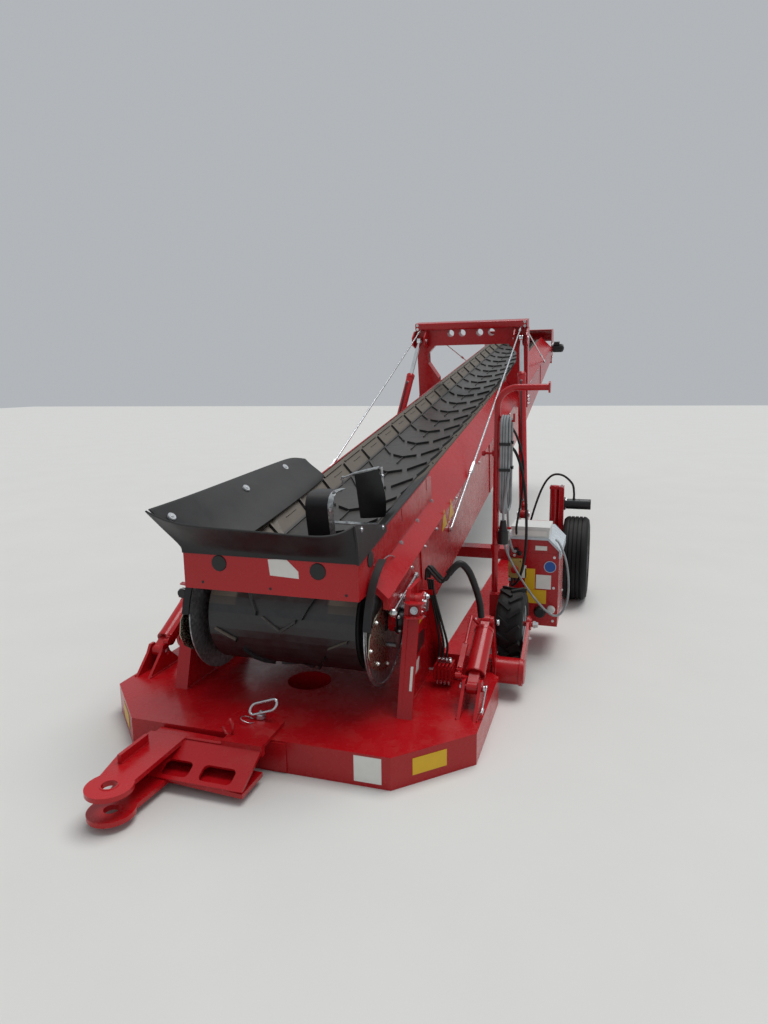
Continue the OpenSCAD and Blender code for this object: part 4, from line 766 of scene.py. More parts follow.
def guides():
    hood = rubber_sheet("intake_hood", [[(x, s, n) for s, n in HOOD_PROFILE] for x in HOOD_X], GUIDE_MM)
    strip = rubber_sheet("intake_strip", STRIP_ROWS, GUIDE_MM)
    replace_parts(hood, "guide_rubbers")
    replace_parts(strip, "guide_rubbers")
    straps = Parts()
    rings = []
    befores, afters = HOOD_PROFILE[:1] + HOOD_PROFILE, HOOD_PROFILE[1:] + HOOD_PROFILE[-1:]
    for before, (s, n), after in zip(befores, HOOD_PROFILE, afters):
        way = (Vector(after) - Vector(before)).normalized()
        rings.append([boom(x, s - way.y * h, n + way.x * h) for x, h in ((56, 5.5), (86, 5.5), (86, 10.5), (56, 10.5))])
    straps.loft(rings)
    straps.loft([[boom(x, s + ds, n + dn) for ds, dn in ((-7, 0), (22, 0), (22, 5), (-7, 5))] for x, s, n in STRAP_WAY])
    for low, high in GUIDE_BARS:
        straps.block(low, high, boom)
    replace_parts(straps.done("guide_straps", GALVANISED, "boom", 0.8), "guide_brackets")
    places = [(boom(66, 333, n), boom_way(1, 0, 0)) for n in (300, 326)]
    places += [(boom(x, 337, 345.5), boom_way(0, 0, 1)) for x in (140, 300, 330)]
    places += [(boom(306.5, 467, n), boom_way(1, 0, 0)) for n in (400, 480, 560)]
    places += [(boom(71, s, n), boom_way(0, ds, dn))
               for s, n, ds, dn in ((372, 495, 0, 1), (306, 420, -1, 0), (304, 360, -1, 0))]
    bolts("guide_bolts", places, "boom", 6.5, 5.0, 11.0)


def mast_fittings():
    red, zinc = Parts(), Parts()
    # Section of the top tube: the centre of each rounded corner and the angle it starts at
    radius, s_mid, n_mid = 14, 4468, 901
    corners = ((0, 10, 21), (90, -10, 21), (180, -10, -21), (270, 10, -21))
    outline = [(s + radius * math.cos(t), n + radius * math.sin(t)) for first, s, n in corners
               for t in (math.radians(first + a) for a in range(0, 91, 15))]
    red.loft([[boom(x, s_mid + s * g, n_mid + n * g) for s, n in outline]
              for x, g in ((-571, 0.94), (-568, 1), (568, 1), (571, 0.94))])
    red.block((-571, 4478, 934.5), (571, 4596, 936), boom)
    for side in SIDES:
        red.block((side * 573, 4478, 60), (side * 505, 4487, 190), boom)
    red.done("mast_top_tube", RED, "boom", 1.0)
    for side in SIDES:
        for x, way in ((584, 1), (448, -1)):
            zinc.turned(mm(side * x, 4142, 2030), side * way * ACROSS,
                        [(0, 27), (4, 27), (5, 17), (9, 17), (10, 14), (10, 1)], 24)
        top = boom(side * 512, 4467, 880)
        way = (boom(side * 512, 1075, 40) - top).normalized()
        zinc.turned(top + way * 2.72, way, TURNBUCKLE, 6)
        zinc.turned(top + way * 0.09, way, [(0, 10), (26, 10), (28, 13), (46, 13), (48, 8)], 6)
        top = boom(side * 512, 4617, 880)
        way = (boom(side * 512, 6960, 150) - top).normalized()
        zinc.turned(top + way * 1.9, way, TURNBUCKLE, 6)
    zinc.done("mast_pins_and_turnbuckles", ZINC, "boom")
    places = [(boom(side * 572.3, s, n), boom_way(side, 0, 0))
              for side in SIDES for s in (4512, 4572) for n in (84, 122, 160)]
    places += [(boom(side * 548, 4443.5, n), boom_way(0, -1, 0)) for side in SIDES for n in (921, 881)]
    bolts("mast_bolts", places, "boom", 9.0, 7.0, 14.0)


def head_fittings():
    s_axis, n_axis, fins = 8330, 143, 12
    dark, scraper, blade = Parts(), Parts(), Parts()
    end = [(-2, 53), (3, 53), (6, 48), (6, 30), (14, 28), (16, 24), (16, 1)]
    dark.turned(boom(650, s_axis, n_axis), ACROSS, end, 32)
    dark.block((520, 8290, 196), (600, 8370, 236), boom)
    for c, d in circle(fins, 1.0):
        dark.plate([boom(x, s_axis + r * c, n_axis + r * d) for x, r in ((512, 54), (512, 61), (634, 61), (634, 54))],
                   boom_way(0, -d, c) * 0.004)
    dark.done("belt_motor_housing", BLACK, "boom", 0.8)
    scraper.bar(boom(-499, 8140, -34), boom(499, 8140, -34), 17)
    for side in SIDES:
        scraper.plate([boom(side * 501, s, n) for s, n in ((8090, 60), (8190, 60), (8170, -50), (8110, -50))],
                      boom_way(side, 0, 0) * 0.006)
    scraper.done("belt_scraper_bar", RED, "boom", 1.0)
    blade.plate([boom(x, 8136, n) for x, n in ((-360, -30), (360, -30), (360, 8), (-360, 8))], boom_way(0, 1, 0) * 0.01)
    blade.done("belt_scraper_blade", SHEET, "boom", 1.0)
    places = [(boom(side * 508, s, 40), boom_way(side, 0, 0)) for side in SIDES for s in (8110, 8170)]
    places += [(boom(side * 500.3, s, 210), boom_way(side, 0, 0)) for side in SIDES for s in (8170, 8240, 8310, 8400)]
    bolts("head_bolts", places, "boom", 8.0, 7.0, 13.0)


def boom_side_fittings():
    yellow, beads = Parts(), Parts()
    for side in SIDES:
        for s_low in (905, 1085):
            outline = ((s_low, 90), (s_low + 130, 90), (s_low + 65, 210))
            sticker(yellow, [boom(side * 500.2, s, n) for s, n in outline], boom_way(side, 0, 0))
        beads.tube([boom(side * 500.5, s, 178.5) for s in (-128, 400, 2000, 4000, 6000, 8100)], 3.0, 8)
        for s, low in ((420, -218), (2550, -219), (4700, -219), (6500, -100)):
            beads.block((side * 506, s - 5, low), (side * 499, s + 5, 176), boom)
    yellow.done("blank_yellow_triangles", LABEL_YELLOW, "boom")
    beads.done("side_seams", RED, "boom", 0.8)


def post_front(z):
    """The y of a post's sloping front flange at a height."""
    return -270 + 155 * (z - POST_FOOT_Z) / 494


def base_labels():
    white, yellow, dark = Parts(), Parts(), Parts()
    white.block(mm(460, -605.3, 20), mm(580, -604.1, 135))
    for side in SIDES:
        along, out = (Vector((side, way, 0)).normalized() for way in (1, -1))
        at = Vector((side * 0.750, -0.474, 0)) + out * 0.0008
        corners = ((-0.083, 0.042), (0.083, 0.042), (0.083, 0.117), (-0.083, 0.117))
        sticker(yellow, [at + along * a + UP * z for a, z in corners], out)
    strip = ((594, 268), (606, 268), (606, 372), (594, 372))
    sticker(white, [mm(x, post_front(z) - 1.5, z) for x, z in strip], -ALONG)
    for parts, outline in ((yellow, ((-80, 552), (0, 528), (100, 492), (-75, 468))),
                           (yellow, ((0, 566), (92, 540), (82, 578))),
                           (white, ((-70, 250), (32, 262), (50, 322), (-32, 312)))):
        sticker(parts, [mm(POST_SIDE_X, y, z) for y, z in outline], ACROSS)
    outline = ((0, 345), (150, 362), (150, 430), (-10, 442))
    dark.plate([mm(POST_SIDE_X, y, z) for y, z in outline], ACROSS * 0.0015)
    white.done("blank_white_labels", LABEL_WHITE, "chassis")
    yellow.done("blank_yellow_labels", LABEL_YELLOW, "chassis")
    dark.done("blank_dark_label", BLACK_PLASTIC, "chassis")


def drawbar_pin_ring():
    """Oval pull ring on the drawbar's pin and the wire that keeps it."""
    zinc = Parts()
    pin = [(0, 21), (3, 22.5), (9, 22), (13, 17), (15, 9), (24, 8), (26, 5)]
    zinc.turned(mm(-30, -470, 174), UP, pin, 24)
    pivot, half_mm, radius_mm = mm(-30, -470, 186), 42, 26
    turns = [math.radians(15 * k + 7.5) for k in range(25)]
    oval = [(math.copysign(half_mm, math.cos(t)) + radius_mm * math.cos(t), radius_mm * math.sin(t)) for t in turns]
    zinc.tube([pivot + mm(a * 0.94 + 14, a * 0.1 + b * 0.45, 32 + a * 0.3 + b * 0.85) for a, b in oval], 6.5, 12)
    zinc.ring(mm(-74, -512, 170), (0.3, 0.2, 1), 32, 2.2)
    zinc.done("drawbar_pin_ring", ZINC, "chassis")


def post_fittings():
    red, knob, band = Parts(), Parts(), Parts()
    for side in SIDES:
        for z in (585, 645):
            outline = ((548, 2), (548, -24), (566, -46), (632, -30), (640, 2))
            red.plate([mm(side * x, post_front(z) + dy, z) for x, dy in outline], UP * 0.006)
        for y0, y1 in ((-262, -258), (408, 412)):
            red.tube([mm(side * x, y, 149) for x, y in ((547, y0), (580, y0), (613, y1))], 4.5, 8)
        red.tube([mm(side * 567, y, 149) for y in (-255, 0, 200, 405)], 4.5, 8)
        red.tube([mm(side * 543, y, 149) for y in (-265, 0, 200, 415)], 4.5, 8)
        red.tube([mm(side * x, 218, 149) for x in (642, 700, 788)], 4.5, 8)
        red.turned(mm(side * 600, 0, 600), side * ACROSS, [(-3, 66), (4, 66), (7, 63), (7, 44)], 40)
        for x in (803, 897):
            red.tube([mm(side * x, y, 149) for y in (-208, -70, 68)], WELD_MM, 8)
    red.block(mm(96, -611, 8), mm(156, -603.5, 138))
    red.done("post_tabs_and_welds", RED, "chassis", 1.2)
    places = [(mm(side * 590, -128, 612), (0, -1, 0.25)) for side in SIDES]
    places += [(mm(side * 609, 32, 632), side * ACROSS) for side in SIDES]
    bolts("post_bolts", places, "chassis", 12.0, 10.0, 18.0)
    places = [(mm(side * 606.8, y, 600 + z), side * ACROSS) for side in SIDES for y, z in circle(6, 53, 20)]
    bolts("hinge_pin_bolts", places, "chassis", 6.0, 5.0, 8.0)
    knob.bar(mm(-604, -150, 612), mm(-604, -176, 608), 24, 24)
    knob.done("post_knob", BLACK_PLASTIC, "chassis", 1.5)
    band.ring(mm(-604, -164, 610), (0, 1, 0.15), 24.5, 2.6)
    band.done("post_knob_band", WHITE_PLASTIC, "chassis")


def valve_block():
    red, zinc = Parts(), Parts()
    pitch = 19
    red.block(mm(622, 105, 188), mm(716, 190, 244))
    for x in range(628, 705, pitch):
        red.block(mm(x, 96, 182), mm(x + 10, 196, 262))
    for x in (640, 698):
        red.block(mm(x, 130, 144), mm(x + 12, 170, 190))
    red.done("valve_block", RED, "chassis", 2.0)
    for x in range(640, 698, pitch):
        zinc.turned(mm(x, 150, 262), UP, [(-4, 9), (4, 9), (6, 11), (18, 11), (20, 7), (26, 7)], 6)
        zinc.turned(mm(x, 112, 184), -UP, [(-2, 8), (14, 8), (15, 6), (22, 6)], 6)
    zinc.turned(mm(613, 150, 216), -ACROSS, [(-12, 13), (4, 13), (6, 9), (22, 9)], 6)
    zinc.done("valve_fittings", ZINC, "chassis")


def smooth_way(points, steps=6):
    """A smooth curve through points."""
    points = [Vector(p) for p in points]
    ends = [points[0] * 2 - points[1]] + points + [points[-1] * 2 - points[-2]]
    way = []
    for a, b, c, d in zip(ends, ends[1:], ends[2:], ends[3:]):
        square, cube = a * 2 - b * 5 + c * 4 - d, b * 3 - a - c * 3 + d
        way += [(b * 2 + (c - a) * t + square * t * t + cube * t ** 3) * 0.5 for t in (k / steps for k in range(steps))]
    return way + [points[-1]]


# Ways of the hoses and leads, in metres: over the post, from the cabinet up to the boom, and into sockets and motors
POST_HOSE = [(0.588, 0.13, 0.70), (0.60, 0.11, 0.76), (0.632, 0.10, 0.735), (0.672, 0.10, 0.70), (0.70, 0.10, 0.735)]
BOOM_LEAD = [(0.90, 1.045, 0.735), (0.905, 1.0, 0.80), (0.935, 0.96, 0.98), (0.945, 0.93, 1.16), (0.915, 0.90, 1.31),
             (0.872, 0.85, 1.40), (0.832, 0.812, 1.44)]
STOP_LEAD = [(0.885, 0.998, 0.478), (0.89, 0.975, 0.44), (0.935, 0.955, 0.50), (0.965, 0.95, 0.66), (0.965, 0.94, 0.90),
             (0.945, 0.92, 1.10), (0.90, 0.88, 1.25), (0.835, 0.816, 1.30)]
SLEEVED_HOSE = [(0.70, 0.10, 0.733), (0.725, 0.10, 0.765), (0.757, 0.105, 0.785), (0.79, 0.13, 0.745),
                (0.815, 0.17, 0.66), (0.832, 0.205, 0.57), (0.838, 0.222, 0.49)]
SOCKET_LEAD = [(1.128, 1.075, 0.708), (1.155, 1.03, 0.69), (1.195, 0.99, 0.60), (1.213, 0.975, 0.47),
               (1.205, 0.97, 0.355), (1.165, 0.965, 0.285), (1.11, 0.96, 0.29), (1.02, 0.945, 0.385),
               (0.94, 0.92, 0.51), (0.885, 0.87, 0.63), (0.862, 0.825, 0.715), (0.86, 0.812, 0.747)]
MOTOR_HOSE = [(0.80, 2.30, 0.345), (0.86, 2.33, 0.62), (0.93, 2.30, 0.83), (1.00, 2.25, 0.93), (1.08, 2.22, 0.94),
              (1.15, 2.23, 0.88), (1.165, 2.25, 0.81), (1.165, 2.262, 0.756)]


def hoses():
    thin, sleeved, grey = Parts(), Parts(), Parts()
    for k, shift in enumerate((0.0, 0.016, -0.014)):
        thin.tube(smooth_way([Vector(p) + Vector((shift * 0.4, shift, -0.004 * k)) for p in POST_HOSE]), 7.0)
    for k in range(3):
        x = 0.640 + 0.019 * k
        riser = [(x, 0.15, 0.286), (x + 0.004, 0.152, 0.36), (0.622 + 0.012 * k, 0.15, 0.50),
                 (0.60 + 0.010 * k, 0.135, 0.62), (0.59 + 0.012 * k, 0.13, 0.69)]
        thin.tube(smooth_way(riser), 6.0)
    thin.tube(smooth_way(BOOM_LEAD), 6.5)
    thin.tube(smooth_way(STOP_LEAD), 8.0)
    thin.done("machine_hoses", HOSE, "chassis")
    sleeved.tube(smooth_way(SLEEVED_HOSE), 17.0, 14)
    hose = sleeved.done("sleeved_hoses", HOSE, None)
    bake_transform(hose)
    grey.tube(smooth_way(SOCKET_LEAD), 6.5)
    grey.done("socket_lead", SHEATH, "chassis")
    for side, name in LEFT_RIGHT:
        run = Parts()
        run.tube(smooth_way([(side * x, y, z) for x, y, z in MOTOR_HOSE]), 8.0)
        hose = run.done("motor_hose_" + name, HOSE, None)
        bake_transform(hose)


def cabinet_door_and_labels():
    red, disc, rim = Parts(), Parts(), Parts()
    door, face = CABINET_FRONT - 3, CABINET_FRONT - 3.1
    red.block(mm(876, door, 196), mm(1136, CABINET_FRONT - 0.2, 626))
    for z in (250, 560):
        red.turned(mm(876, door - 2, z), UP, [(-26, 6), (-24, 7), (24, 7), (26, 6)], 16)
    red.done("cabinet_door", RED, "chassis", 1.5)
    white, yellow = Parts(), Parts()
    for parts, x0, z0, x1, z1 in ((white, 1012, 645, 1080, 672), (white, 1020, 410, 1108, 496),
                                  (white, 910, 470, 962, 548), (yellow, 955, 404, 1014, 530),
                                  (yellow, 955, 318, 1082, 402)):
        parts.block(mm(x0, face - LABEL_MM, z0), mm(x1, face, z1))
    white.block(mm(884, 1038.6, 732), mm(1076, 1039.9, 762))
    white.done("cabinet_blank_white_labels", LABEL_WHITE, "chassis")
    yellow.done("cabinet_blank_yellow_labels", LABEL_YELLOW, "chassis")
    disc.turned(mm(1100, face, 548), -ALONG, [(0, 36), (1.2, 36), (1.3, 1)], 40)
    disc.done("cabinet_blue_disc", LABEL_BLUE, "chassis")
    rim.ring(mm(1100, face - 1.3, 548), ALONG, 33.5, 1.6)
    rim.done("cabinet_disc_rim", LABEL_WHITE, "chassis")


def cabinet_fittings():
    dark, grey, zinc, top = Parts(), Parts(), Parts(), Parts()
    door, face = CABINET_FRONT - 3, CABINET_FRONT - 3.1
    dark.turned(mm(1048, door, 268), -ALONG, [(0, 36), (10, 36), (14, 32), (30, 30), (34, 26), (34, 1)], 32)
    dark.turned(mm(920, door, 620), -ALONG, [(0, 14), (8, 14), (10, 11), (10, 1)], 24)
    dark.done("cabinet_sockets", BLACK_PLASTIC, "chassis", 0.8)
    grey.turned(mm(1112, door, 286), -ALONG, [(0, 25), (8, 25), (12, 22), (22, 21), (24, 17), (24, 1)], 32)
    grey.turned(mm(870, 999, 468), -ALONG, [(-8, 9), (6, 9), (8, 7), (8, 1)], 20)
    grey.done("cabinet_pale_socket", WHITE_PLASTIC, "chassis", 0.8)
    zinc.block(mm(1150.3, 1054, 232), mm(1153, 1446, 236))
    zinc.turned(mm(960, door, 205), -ALONG, [(0, 5), (4, 5), (4.5, 1)], 12)
    for y in (1075, 1425):
        for z in (300, 600):
            zinc.turned(mm(1150, y, z), ACROSS, [(0, 8), (5, 8), (6, 5), (6.2, 1)], 6)
    zinc.done("cabinet_screws", ZINC, "chassis")
    places = [(mm(x, face, z), -ALONG) for x, z in ((1124, 215), (1124, 606), (890, 215), (890, 606), (1124, 420))]
    bolts("cabinet_bolts", places, "chassis", 5.0, 4.0, 8.0)
    top.block(mm(872, 1040, 721.5), mm(1090, 1240, 784))
    top.block(mm(868, 1036, 770), mm(1094, 1244, 786))
    top.done("cabinet_top_box", WHITE_PLASTIC, "chassis", 5.0)


def switch_and_junction_fittings():
    button, screws, box = Parts(), Parts(), Parts()
    head = [(0, 20), (4, 20), (5, 15), (11, 15), (12, 23.5), (22, 24.5), (28, 22), (30, 15), (30.5, 1)]
    button.turned(mm(900, 1000, 535), -ALONG, head, 32)
    button.done("stop_button", RED_PLASTIC, "chassis")
    for x in (868, 931):
        for z in (487, 583):
            screws.turned(mm(x, 999.8, z), -ALONG, [(0, 4), (1.5, 4), (2, 1)], 12)
    screws.turned(mm(900, 1025, 481), -UP, [(0, 11), (8, 11), (10, 9), (24, 8), (25, 5)], 12)
    screws.done("stop_switch_screws", BLACK_PLASTIC, "chassis")
    box.block(mm(833.5, 778.6, 793), mm(886.5, 841.4, 797))
    for x in (846, 874):
        box.turned(mm(x, 800, 745), -UP, [(0, 9), (10, 9), (12, 7), (20, 7), (21, 4)], 12)
    box.done("junction_box_lid", WHITE_PLASTIC, "chassis", 0.6)


def arm_pole_fittings():
    red = Parts()
    for z in (1225, 690):
        red.sleeve(mm(812, 800, z), UP, [(0, 17.6), (0, 25), (34, 25), (34, 17.6)])
    red.bar(mm(790, 800, 1242), mm(752, 800, 1242), 8)
    red.turned(mm(752, 800, 1242), -ACROSS, [(0, 12), (6, 17), (18, 17), (22, 12), (22, 1)], 20)
    red.turned(mm(812, 800, 440), UP, [(0, 26), (4, 26), (8, 20), (8, 17.6)], 32)
    for z in (180, 400):
        red.block(mm(790.4, 762, z), mm(840.6, 838, z + 6))
    red.done("pole_collars", RED, "chassis", 0.8)
    places = [(mm(840.5, y, z), ACROSS) for y in (778, 822) for z in (215, 365)]
    bolts("pole_bolts", places, "chassis", 8.0, 6.0, 12.0)


def wheel_fittings(side, name):
    wheel, lug_wheel = "rear_wheel_" + name, "arm_wheel_" + name
    out = side * ACROSS
    hub, rim, edge = Parts(), Parts(), Parts()
    nuts = [(mm(side * 1195, REAR_AXLE_Y + y, REAR_AXLE_Z + z), out) for y, z in circle(6, 100)]
    bolts("rear_wheel_nuts_" + name, nuts, wheel, 11.0, 12.0, 14.0)
    hub.turned(mm(side * 1257, REAR_AXLE_Y, REAR_AXLE_Z), out, [(-2, 48), (10, 47), (16, 40), (18, 34), (18, 1)], 32)
    valve = [(-26, 5), (16, 5), (18, 6), (28, 6), (30, 4)]
    hub.turned(mm(side * 1222, REAR_AXLE_Y + 158, REAR_AXLE_Z), out, valve, 12)
    hub.done("rear_hub_cap_" + name, SILVER, wheel, 0.8)
    nuts = [(mm(side * 932, ARM_AXLE_Y + y, ARM_AXLE_Z + z), out) for y, z in circle(5, 60, 12)]
    bolts("lug_wheel_nuts_" + name, nuts, lug_wheel, 8.0, 8.0, 10.0)
    for x in (-62, 62):
        rim.ring(mm(side * ARM_AXLE_X + x, ARM_AXLE_Y, ARM_AXLE_Z), ACROSS, 103, 3.4, steps=48)
    rim.done("lug_rim_edges_" + name, SILVER, lug_wheel)
    for x in (-82, 82):
        edge.ring(mm(side * REAR_WHEEL_X + x, REAR_AXLE_Y, REAR_AXLE_Z), ACROSS, 187, 4.0, steps=64)
    edge.done("rear_rim_edges_" + name, SILVER, wheel)


def leg_fittings(side, name):
    body = "rear_leg_" + name
    leg, motor = Parts(), Parts()
    leg.turned(mm(side * 1025, REAR_AXLE_Y, 850), UP, [(0, 30), (3, 30), (5, 27), (5, 1)], 32)
    for x in (1092, 1062):
        leg.tube([mm(side * x, 2221, z) for z in (260, 500, 840)], WELD_MM, 8)
    leg.done("leg_cap_and_welds_" + name, RED, body, 0.8)
    places = [(mm(side * 1106.2, REAR_AXLE_Y + y, LEG_MOTOR_Z + z), side * ACROSS) for y, z in circle(4, 42, 45)]
    places += [(mm(side * x, REAR_AXLE_Y + y, 850.2), UP) for x, y in ((1075, -24), (1075, 24), (1000, 0))]
    bolts("leg_bolts_" + name, places, body, 7.0, 6.0, 10.0)
    end = [(-6, 36), (-2, 38.6), (-1.2, 30), (-1, 1)]
    motor.turned(mm(side * 1287, REAR_AXLE_Y, LEG_MOTOR_Z), side * ACROSS, end, 32)
    port = [(-6, 2), (-6, 11), (5, 11), (6, 8), (12, 8), (12, 2)]
    motor.sleeve(mm(side * 1165, REAR_AXLE_Y, 757), UP, port, 12)
    for x in (1128, 1204, 1276):
        motor.ring(mm(side * x, REAR_AXLE_Y, LEG_MOTOR_Z), ACROSS, 38, 1.8, steps=40)
    motor.done("leg_motor_details_" + name, BLACK, body)


def arm_fittings(side, name):
    out = side * ACROSS
    zinc, red = Parts(), Parts()
    nut = [(-18, 22), (-4, 22), (-3, 17), (8, 17), (10, 14), (10, 1)]
    zinc.turned(mm(side * 1062, ARM_AXLE_Y, ARM_AXLE_Z), out, nut, 6)
    zinc.turned(mm(side * 1027, 655, 240), out, [(0, 10), (9, 10), (10, 6), (14, 6)], 6)
    for x, way in ((801, -out), (907, out)):
        zinc.turned(mm(side * x, 300, 440), way, pin_head(15, 7), 24)
    zinc.done("arm_zinc_ends_" + name, ZINC, "wheel_arm_" + name)
    red.turned(mm(side * 1027, 430, 135), out, [(0, 62), (4, 62), (7, 58), (7, 1)], 40)
    red.turned(mm(side * 1027, ARM_AXLE_Y, ARM_AXLE_Z), out, [(0, 34), (5, 34), (8, 31), (8, 10)], 32)
    for x, radius in ((1011, 71), (890, 70.5)):
        red.ring(mm(side * x, 430, 135), ACROSS, radius, WELD_MM, steps=48)
    red.done("arm_cap_and_welds_" + name, RED, "wheel_arm_" + name, 0.6)


def arm_cylinder_fittings(side, name):
    """Rings, lock strut, chrome and pin ends of an arm cylinder, set along and square to its axis in metres."""
    barrel, rod = "arm_barrel_" + name, "arm_rod_" + name
    low, way = mm(side * 850, -60, 240), Vector((0, 0.874157, 0.485643))
    over = Vector((0, -0.485643, 0.874157))
    strut, half = low - side * ACROSS * 0.064 + over * 0.058, 0.012
    foot, tip = strut + way * 0.018, strut + way * 0.385
    gland, lock, slim, chrome, pins = Parts(), Parts(), Parts(), Parts(), Parts()
    gland.turned(low + way * 0.074, way, [(0, 44), (3, 49.5), (18, 49.5), (20, 47.7)], 40)
    gland.sleeve(low + way * 0.3335, way, [(0, 25.8), (0, 49.5), (16, 49.5), (17, 46), (17, 25.8)], 40)
    gland.block(*[strut + way * 0.045 + Vector((side, 1, 1)) * d * half for d in (-1, 1)])
    gland.done("arm_barrel_rings_" + name, RED, barrel, 0.6)
    corners = ((-half, -half), (half, -half), (half, half), (-half, half))
    lock.loft([[strut + way * d + ACROSS * a + over * b for a, b in corners] for d in (0.055, 0.20)])
    lock.turned(foot, way, [(0, 8), (36, 8), (37, 15), (42, 15)], 16)
    lock.turned(strut + way * 0.200, way, [(0, 15), (6, 15), (8, 12), (14, 12)], 16)
    lock.turned(foot, ACROSS, [(-14, 14), (14, 14)], 20)
    lock.bar(foot, low + way * 0.05 - side * ACROSS * 0.022, 9)
    lock.done("arm_lock_tube_" + name, RED, barrel, 0.6)
    slim.bar(strut + way * 0.12, tip, 8)
    slim.bar(tip, low + way * 0.372 - side * ACROSS * 0.018, 8)
    slim.done("arm_lock_rod_" + name, RED, rod)
    chrome.bar(low + way * 0.10, low + way * 0.351, 25.2, 32)
    chrome.done("arm_rod_chrome_" + name, CHROME, rod)
    for x, out in ((797, -side), (903, side)):
        pins.turned(mm(side * x, -60, 240), out * ACROSS, pin_head(17, 5), 24)
    if side > 0:
        clip = [(0.912, -0.06, 0.24), (0.918, -0.075, 0.262), (0.915, -0.115, 0.225), (0.912, -0.15, 0.185)]
        pins.tube(smooth_way(clip), 4.0)
        pins.bar(mm(913, -150, 186), mm(913, -185, 178), 8)
    pins.done("arm_pin_ends_" + name, ZINC, "chassis")


def lift_fittings(side, name):
    barrel = "lift_barrel_" + name
    low, high = mm(side * 690, 3190, 450), mm(side * 520, 4142, 2030)
    way = (high - low).normalized()
    head, pin, port, hose = Parts(), Parts(), Parts(), Parts()
    gland = [(0, 21.7), (0, 38.2), (150, 38.2), (152, 41), (186, 41), (190, 38), (190, 21.7)]
    head.sleeve(low + way * 1.268, way, gland)
    head.turned(low + way * 0.068, way, [(0, 30), (4, 39.5), (26, 39.5), (28, 38)], 32)
    head.done("lift_barrel_head_" + name, RED, barrel)
    for x, out in ((642, -1), (738, 1)):
        pin.turned(mm(side * x, 3190, 450), side * out * ACROSS, [(-1, 27), (4, 27), (5, 20), (9, 20), (10, 1)], 24)
    pin.done("lift_pin_ends_" + name, ZINC, "chassis")
    for d in (0.13, 1.36):
        port.turned(low + way * d + mm(0, -34, 12), (0, -1, 0.4), [(-6, 11), (8, 11), (9, 8), (16, 8)], 6)
    port.done("lift_ports_" + name, ZINC, barrel)
    beside = mm(0, -52, 18)
    line = ((0.13, 1), (0.15, 1.35), (0.30, 1.1), (0.8, 1), (1.2, 1), (1.33, 1.2), (1.36, 1))
    hose.tube(smooth_way([low + way * d + beside * share for d, share in line]), 6.0)
    hose.done("lift_pipe_" + name, BLACK, barrel)


def beam_fittings():
    red = Parts()
    for side in SIDES:
        for x in (641, 789):
            red.tube([mm(side * x, y, 281.5) for y in (2195, 2260, 2343)], WELD_MM, 8)
        for y in (2198, 2340):
            red.tube([mm(side * x, y, 282) for x in (640, 715, 790)], WELD_MM, 8)
        red.block(mm(side * 789, 3331, 148), mm(side * 641, 3336, 278))
        red.tube([mm(side * x, 3072, 282) for x in (647, 662)], WELD_MM, 8)
        red.block(mm(side * 896, 2196, 395), mm(side * 900, 2342, 572))
    red.done("beam_caps_and_welds", RED, "chassis", 0.8)
    places = [(mm(790.3, y, z), ACROSS) for y in (1128, 1368) for z in (212, 250)]
    bolts("beam_bolts", places, "chassis", 8.0, 6.0, 12.0)


def drawbar_fittings():
    red = Parts()
    red.ring(mm(-112, -622, 190), (0.45, 1, 0), 40, 7.0, -20, 220)
    red.tube([mm(x, -699, 131) for x in (-96, 0, 88)], WELD_MM, 8)
    red.tube([mm(x, -698, 147) for x in (-455, -300, -102)], 3.0, 8)
    for x in (-398, -416):
        red.tube([mm(x, y, 151.5) for y in (-958, -870, -782)], 3.0, 8)
    for z, way in ((150, UP), (30, -UP)):
        red.sleeve(mm(-345, -1100, z), way, [(0, 30.4), (0, 37), (2.5, 36), (2.5, 30.4)], 40)
    red.done("drawbar_ring_and_welds", RED, "drawbar")


def belt_beads():
    """Beads along the folds of the belt, between its flat middle and its wings."""
    parts = Parts()
    inset, steps = 20, 40
    for side in SIDES:
        runs = [inset + (BELT_LENGTH - 2 * inset) * k / steps for k in range(steps + 1)]
        parts.loft([[belt_place(run, side * x, h) for x, h in ((216, -3), (228, -3), (226, 6), (218, 6))]
                    for run in runs])
    parts.done("belt_beads", BELT_RUBBER, "boom")


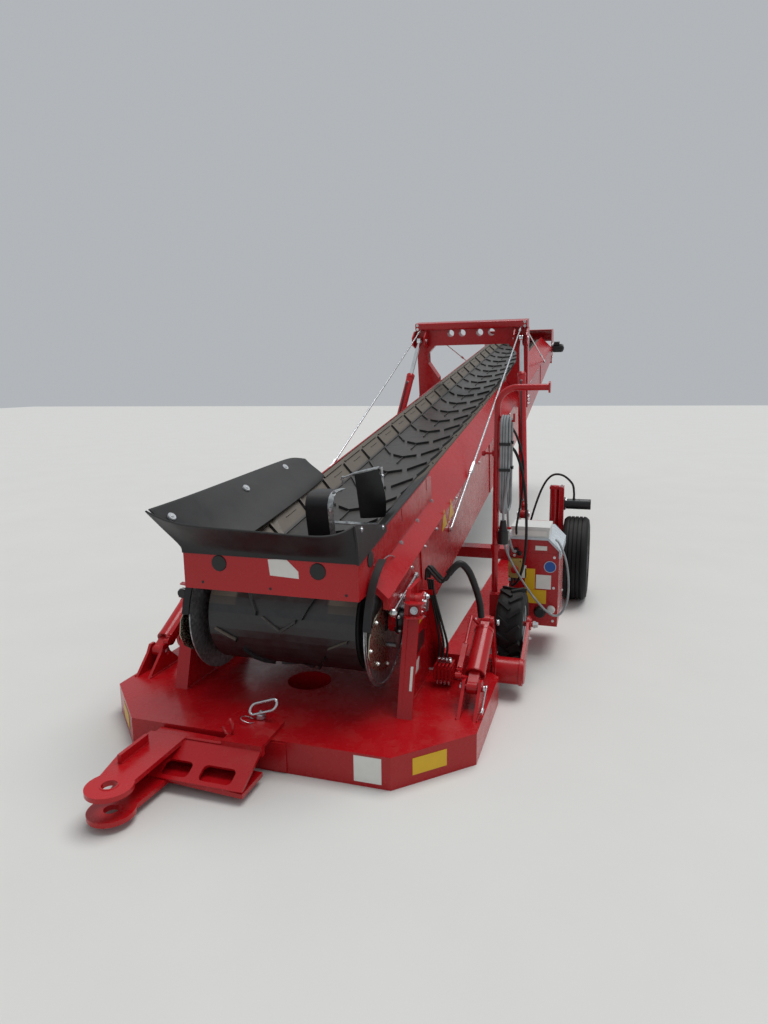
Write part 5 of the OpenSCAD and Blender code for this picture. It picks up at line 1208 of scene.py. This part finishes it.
FINISH = {
    "control_cabinet": RED, "cabinet_cover": PALE, "junction_box": WHITE_PLASTIC,
    "drawbar_pin": ZINC, "pivot_pins": ZINC, "tail_guards": GALVANISED, "return_rollers": ZINC,
    "guide_brackets": GALVANISED, "stay_rods": ZINC, "tail_drum": DRUM_RUBBER, "head_drum": DRUM_RUBBER,
    "conveyor_belt": BELT_RUBBER, "belt_motor": BLACK, "hopper_skirt": SHEET, "hopper_flaps": SHEET,
    "guide_rubbers": SHEET, "mast": RED, "stop_switch": BEIGE, "supply_fittings": BLACK_PLASTIC,
}
FINISH_BY_START = [
    ("lift_barrel", RED), ("lift_rod", CHROME), ("arm_rod", RED), ("leg_motor", BLACK),
    ("rear_tyre", TYRE), ("arm_tyre", TYRE), ("rear_rim", SILVER), ("arm_rim", SILVER),
]


def dress_nodes():
    for name, obj in NODES.items():
        finish = FINISH.get(name) or next((m for start, m in FINISH_BY_START if name.startswith(start)), RED)
        if not obj.data.materials:
            obj.data.materials.append(finish)
        for place in range(len(obj.data.materials)):
            obj.data.materials[place] = finish


def make_studio():
    """A pale floor, an even pale sky and one large soft lamp."""
    half = 40.0
    mesh = bpy.data.meshes.new("floor")
    mesh.from_pydata([(x, y, 0.0) for x, y in ((-half, -half), (half, -half), (half, half), (-half, half))], [],
                     [(0, 1, 2, 3)])
    floor = linked("floor", mesh)
    made, tree, shader, coords = material("pale_floor", 0.85)
    vary(tree, shader, "Base Color", coords, 700.0, "#cdccc8", "#d0cfcb", detail=5.0)
    floor.data.materials.append(made)
    world = bpy.data.worlds.new("sky")
    bpy.context.scene.world = world
    world.use_nodes = True
    sky = world.node_tree.nodes["Background"]
    sky.inputs["Color"].default_value = linear("#e8edf2")
    sky.inputs["Strength"].default_value = 0.55
    lamp = linked("soft_sun", bpy.data.lights.new("soft_sun", "SUN"))
    lamp.data.energy = 2.0
    lamp.data.angle = math.radians(40.0)
    lamp.rotation_euler = (math.radians(-14.0), math.radians(10.0), 0.0)
    bpy.context.scene.view_settings.view_transform = "Standard"


dress_nodes()
hopper_rubbers()
belt_ribs()
hopper_fittings()
tail_fittings()
guides()
belt_beads()
boom_side_fittings()
mast_fittings()
head_fittings()
base_labels()
drawbar_pin_ring()
post_fittings()
valve_block()
hoses()
cabinet_door_and_labels()
cabinet_fittings()
switch_and_junction_fittings()
arm_pole_fittings()
beam_fittings()
for side, name in LEFT_RIGHT:
    wheel_fittings(side, name)
    leg_fittings(side, name)
for side, name in LEFT_RIGHT:
    arm_fittings(side, name)
    arm_cylinder_fittings(side, name)
for side, name in LEFT_RIGHT:
    lift_fittings(side, name)
drawbar_fittings()
make_studio()
